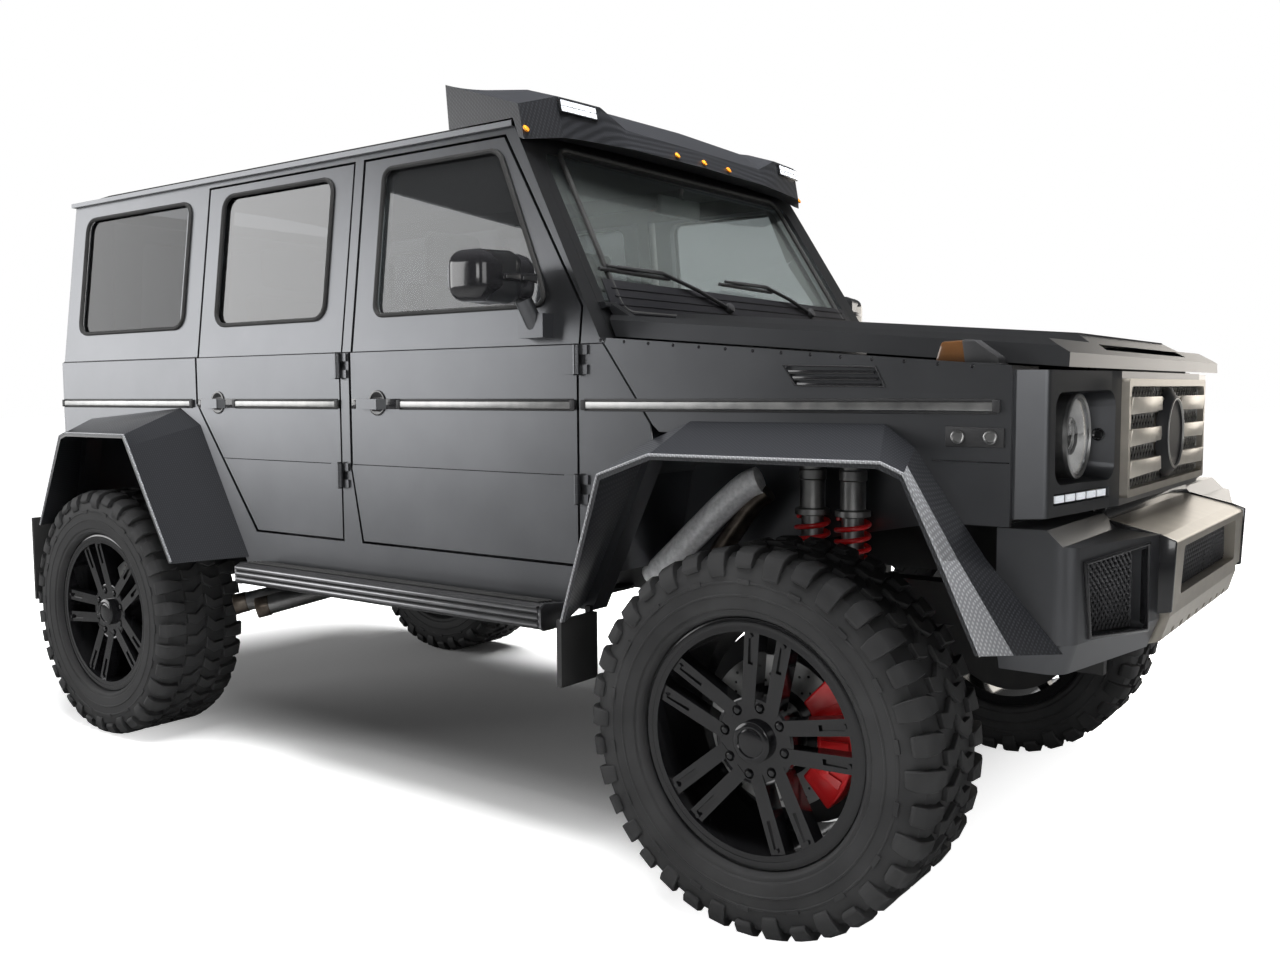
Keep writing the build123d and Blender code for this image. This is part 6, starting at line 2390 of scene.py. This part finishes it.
@dataclass
class Tail:
    """Lamp lenses, plain plate, handle, seal and wiper at the back."""

    back_x: float = -2015
    lens_z: tuple[float, float] = (734, 807)
    door_x: float = -1968

    def lens(self, name: str, inner: float, outer: float) -> Work:
        """Section of the left rear lamp's lens between two distances from the middle.

        Args:
            name: name of the piece.
            inner: its inner edge.
            outer: its outer edge.

        Returns:
            The work.
        """
        low, high = self.lens_z
        section = Work.cube(name, at(self.back_x + 0.5, inner, low), at(self.back_x + 14, outer, high))
        return section.soften(0.005, 3)

    def build(self) -> None:
        """Makes the pieces at the back."""
        lenses = [
            (self.lens("rear_lens", 684, 846), "red_lens"),
            (self.lens("rear_turn_lens", 642, 680), "amber"),
            (self.lens("rear_clear_lens", 606, 638), "lamp_glass"),
        ]
        shown = [lens.both("vehicle", finish, "red_lamp") for lens, finish in lenses]
        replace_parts(shown[0][0], "rear_lamps")
        plate = Work.cube("rear_plate", at(-1977, -258, 1014), at(-1972.5, 258, 1126))
        plate.pick(facing((-1, 0, 0))).inset(0.006, -0.001)
        plate.tidy()
        plate.soften(0.002, 2).finish("rear_door", "bare_metal", "steel")
        loop = [at(-1967, 700, 1240), at(-1990, 700, 1244), at(-1990, 612, 1244), at(-1967, 612, 1240)]
        tube("tail_handle", smoothed(loop, 5), 0.009, 12).finish("rear_door", "gloss_black", "gloss_black")
        seam = [at(self.door_x, -715, BELT_Z), at(self.door_x, 715, BELT_Z)]
        tube("tail_belt_seam", seam, 0.0016, 6).finish("rear_door", "gloss_black", "gloss_black")
        edge = head_on(-1966, ((-560, 1500), (560, 1500), (530, 1942), (-530, 1942)))
        tube("tail_seal", rounded_loop(edge, 0.045), 0.008, 8, True).finish("rear_door", "rubber", "rubber")
        wiper = tube(
            "tail_wiper", [at(-1976, -60, 1478), at(-1982, 120, 1560), at(-1980, 330, 1640)], 0.006, 8
        )
        wiper.finish("rear_door", "black_plastic", "black_plastic")


@dataclass
class Fittings:
    """Handle buttons, caps of the hinge pins and the small closing panels of the front."""

    skin: float = 877.5
    button_z: float = 1259
    hinge_y: float = 890

    def handles(self) -> None:
        """Push button and finger cup of each door handle."""
        for place, rear in (("front", -126), ("rear", -966)):
            foot = at(rear + 26, 880, self.button_z)
            button = boss(f"handle_button_{place}", foot, 0.0115, (0, 1, 0), (0, 0.006, 0), 24, (0.003, 3))
            cup = [(878.4, 0), (878.8, 24), (880.8, 32), (881.6, 37), (880.4, 40), (877.6, 40)]
            dish = Work.line("cup", [at(rear + 126, y, 1262 + r) for y, r in cup])
            dish.spin(at(rear + 126, 0, 1262), (0, 1, 0), 32)
            low, high = self.button_z - 16, self.button_z + 16
            plate = Work.cube("plate", at(rear + 6, self.skin, low), at(rear + 232, 881, high))
            plate.soften(0.0015, 2)
            button.join([dish, plate]).both(place + "_door_{side}", "gloss_black", "gloss_black")

    def hinge_caps(self) -> None:
        """Domed caps on the hinge pins."""
        caps = []
        for x in (811, -173):
            for z in (1030, 1380):
                for side in Side:
                    for sign in (-1, 1):
                        place = at(x, side.value * self.hinge_y, z + sign * 39)
                        caps.append(
                            boss("cap", place, 0.0085, (0, 0, sign), (0, 0, sign * 0.004), 16, (0.002, 2))
                        )
        joined("hinge_caps", caps).finish("vehicle", "gloss_black", "gloss_black")

    def closing_panels(self) -> None:
        """Dark panels under the grille and behind the bonnet's front edge."""
        apron = Work.cube("grille_apron", at(2040, -440, 970), at(2072, 440, 1022)).soften(0.004, 2)
        apron.finish("vehicle", "gloss_black", "gloss_black")
        lip = Work.cube("bonnet_seal", at(2030, -486, 1334), at(2052, 486, 1352)).soften(0.005, 2)
        lip.finish("vehicle", "rubber", "rubber")

    def build(self) -> None:
        """Makes the fittings."""
        self.handles()
        self.hinge_caps()
        self.closing_panels()


def main() -> None:
    """Builds everything in order."""
    logging.basicConfig(level=logging.INFO, format="%(message)s")
    for finish in FINISHES:
        MATERIAL[finish.name] = finish.make()
    Studio().build()
    dress_nodes()
    parts = (
        Wheel(), Brakes(), Struts(), Grille(), Headlamps(), Bumper(), SideTrim(), LightBar(), Windows(),
        DoorMirror(), Step(), Arch(), Exhausts(), Seats(), Cockpit(), Tail(), Fittings(),
    )
    for part in parts:
        part.build()
        log.info("built %s", type(part).__name__)


if __name__ == "__main__":
    main()
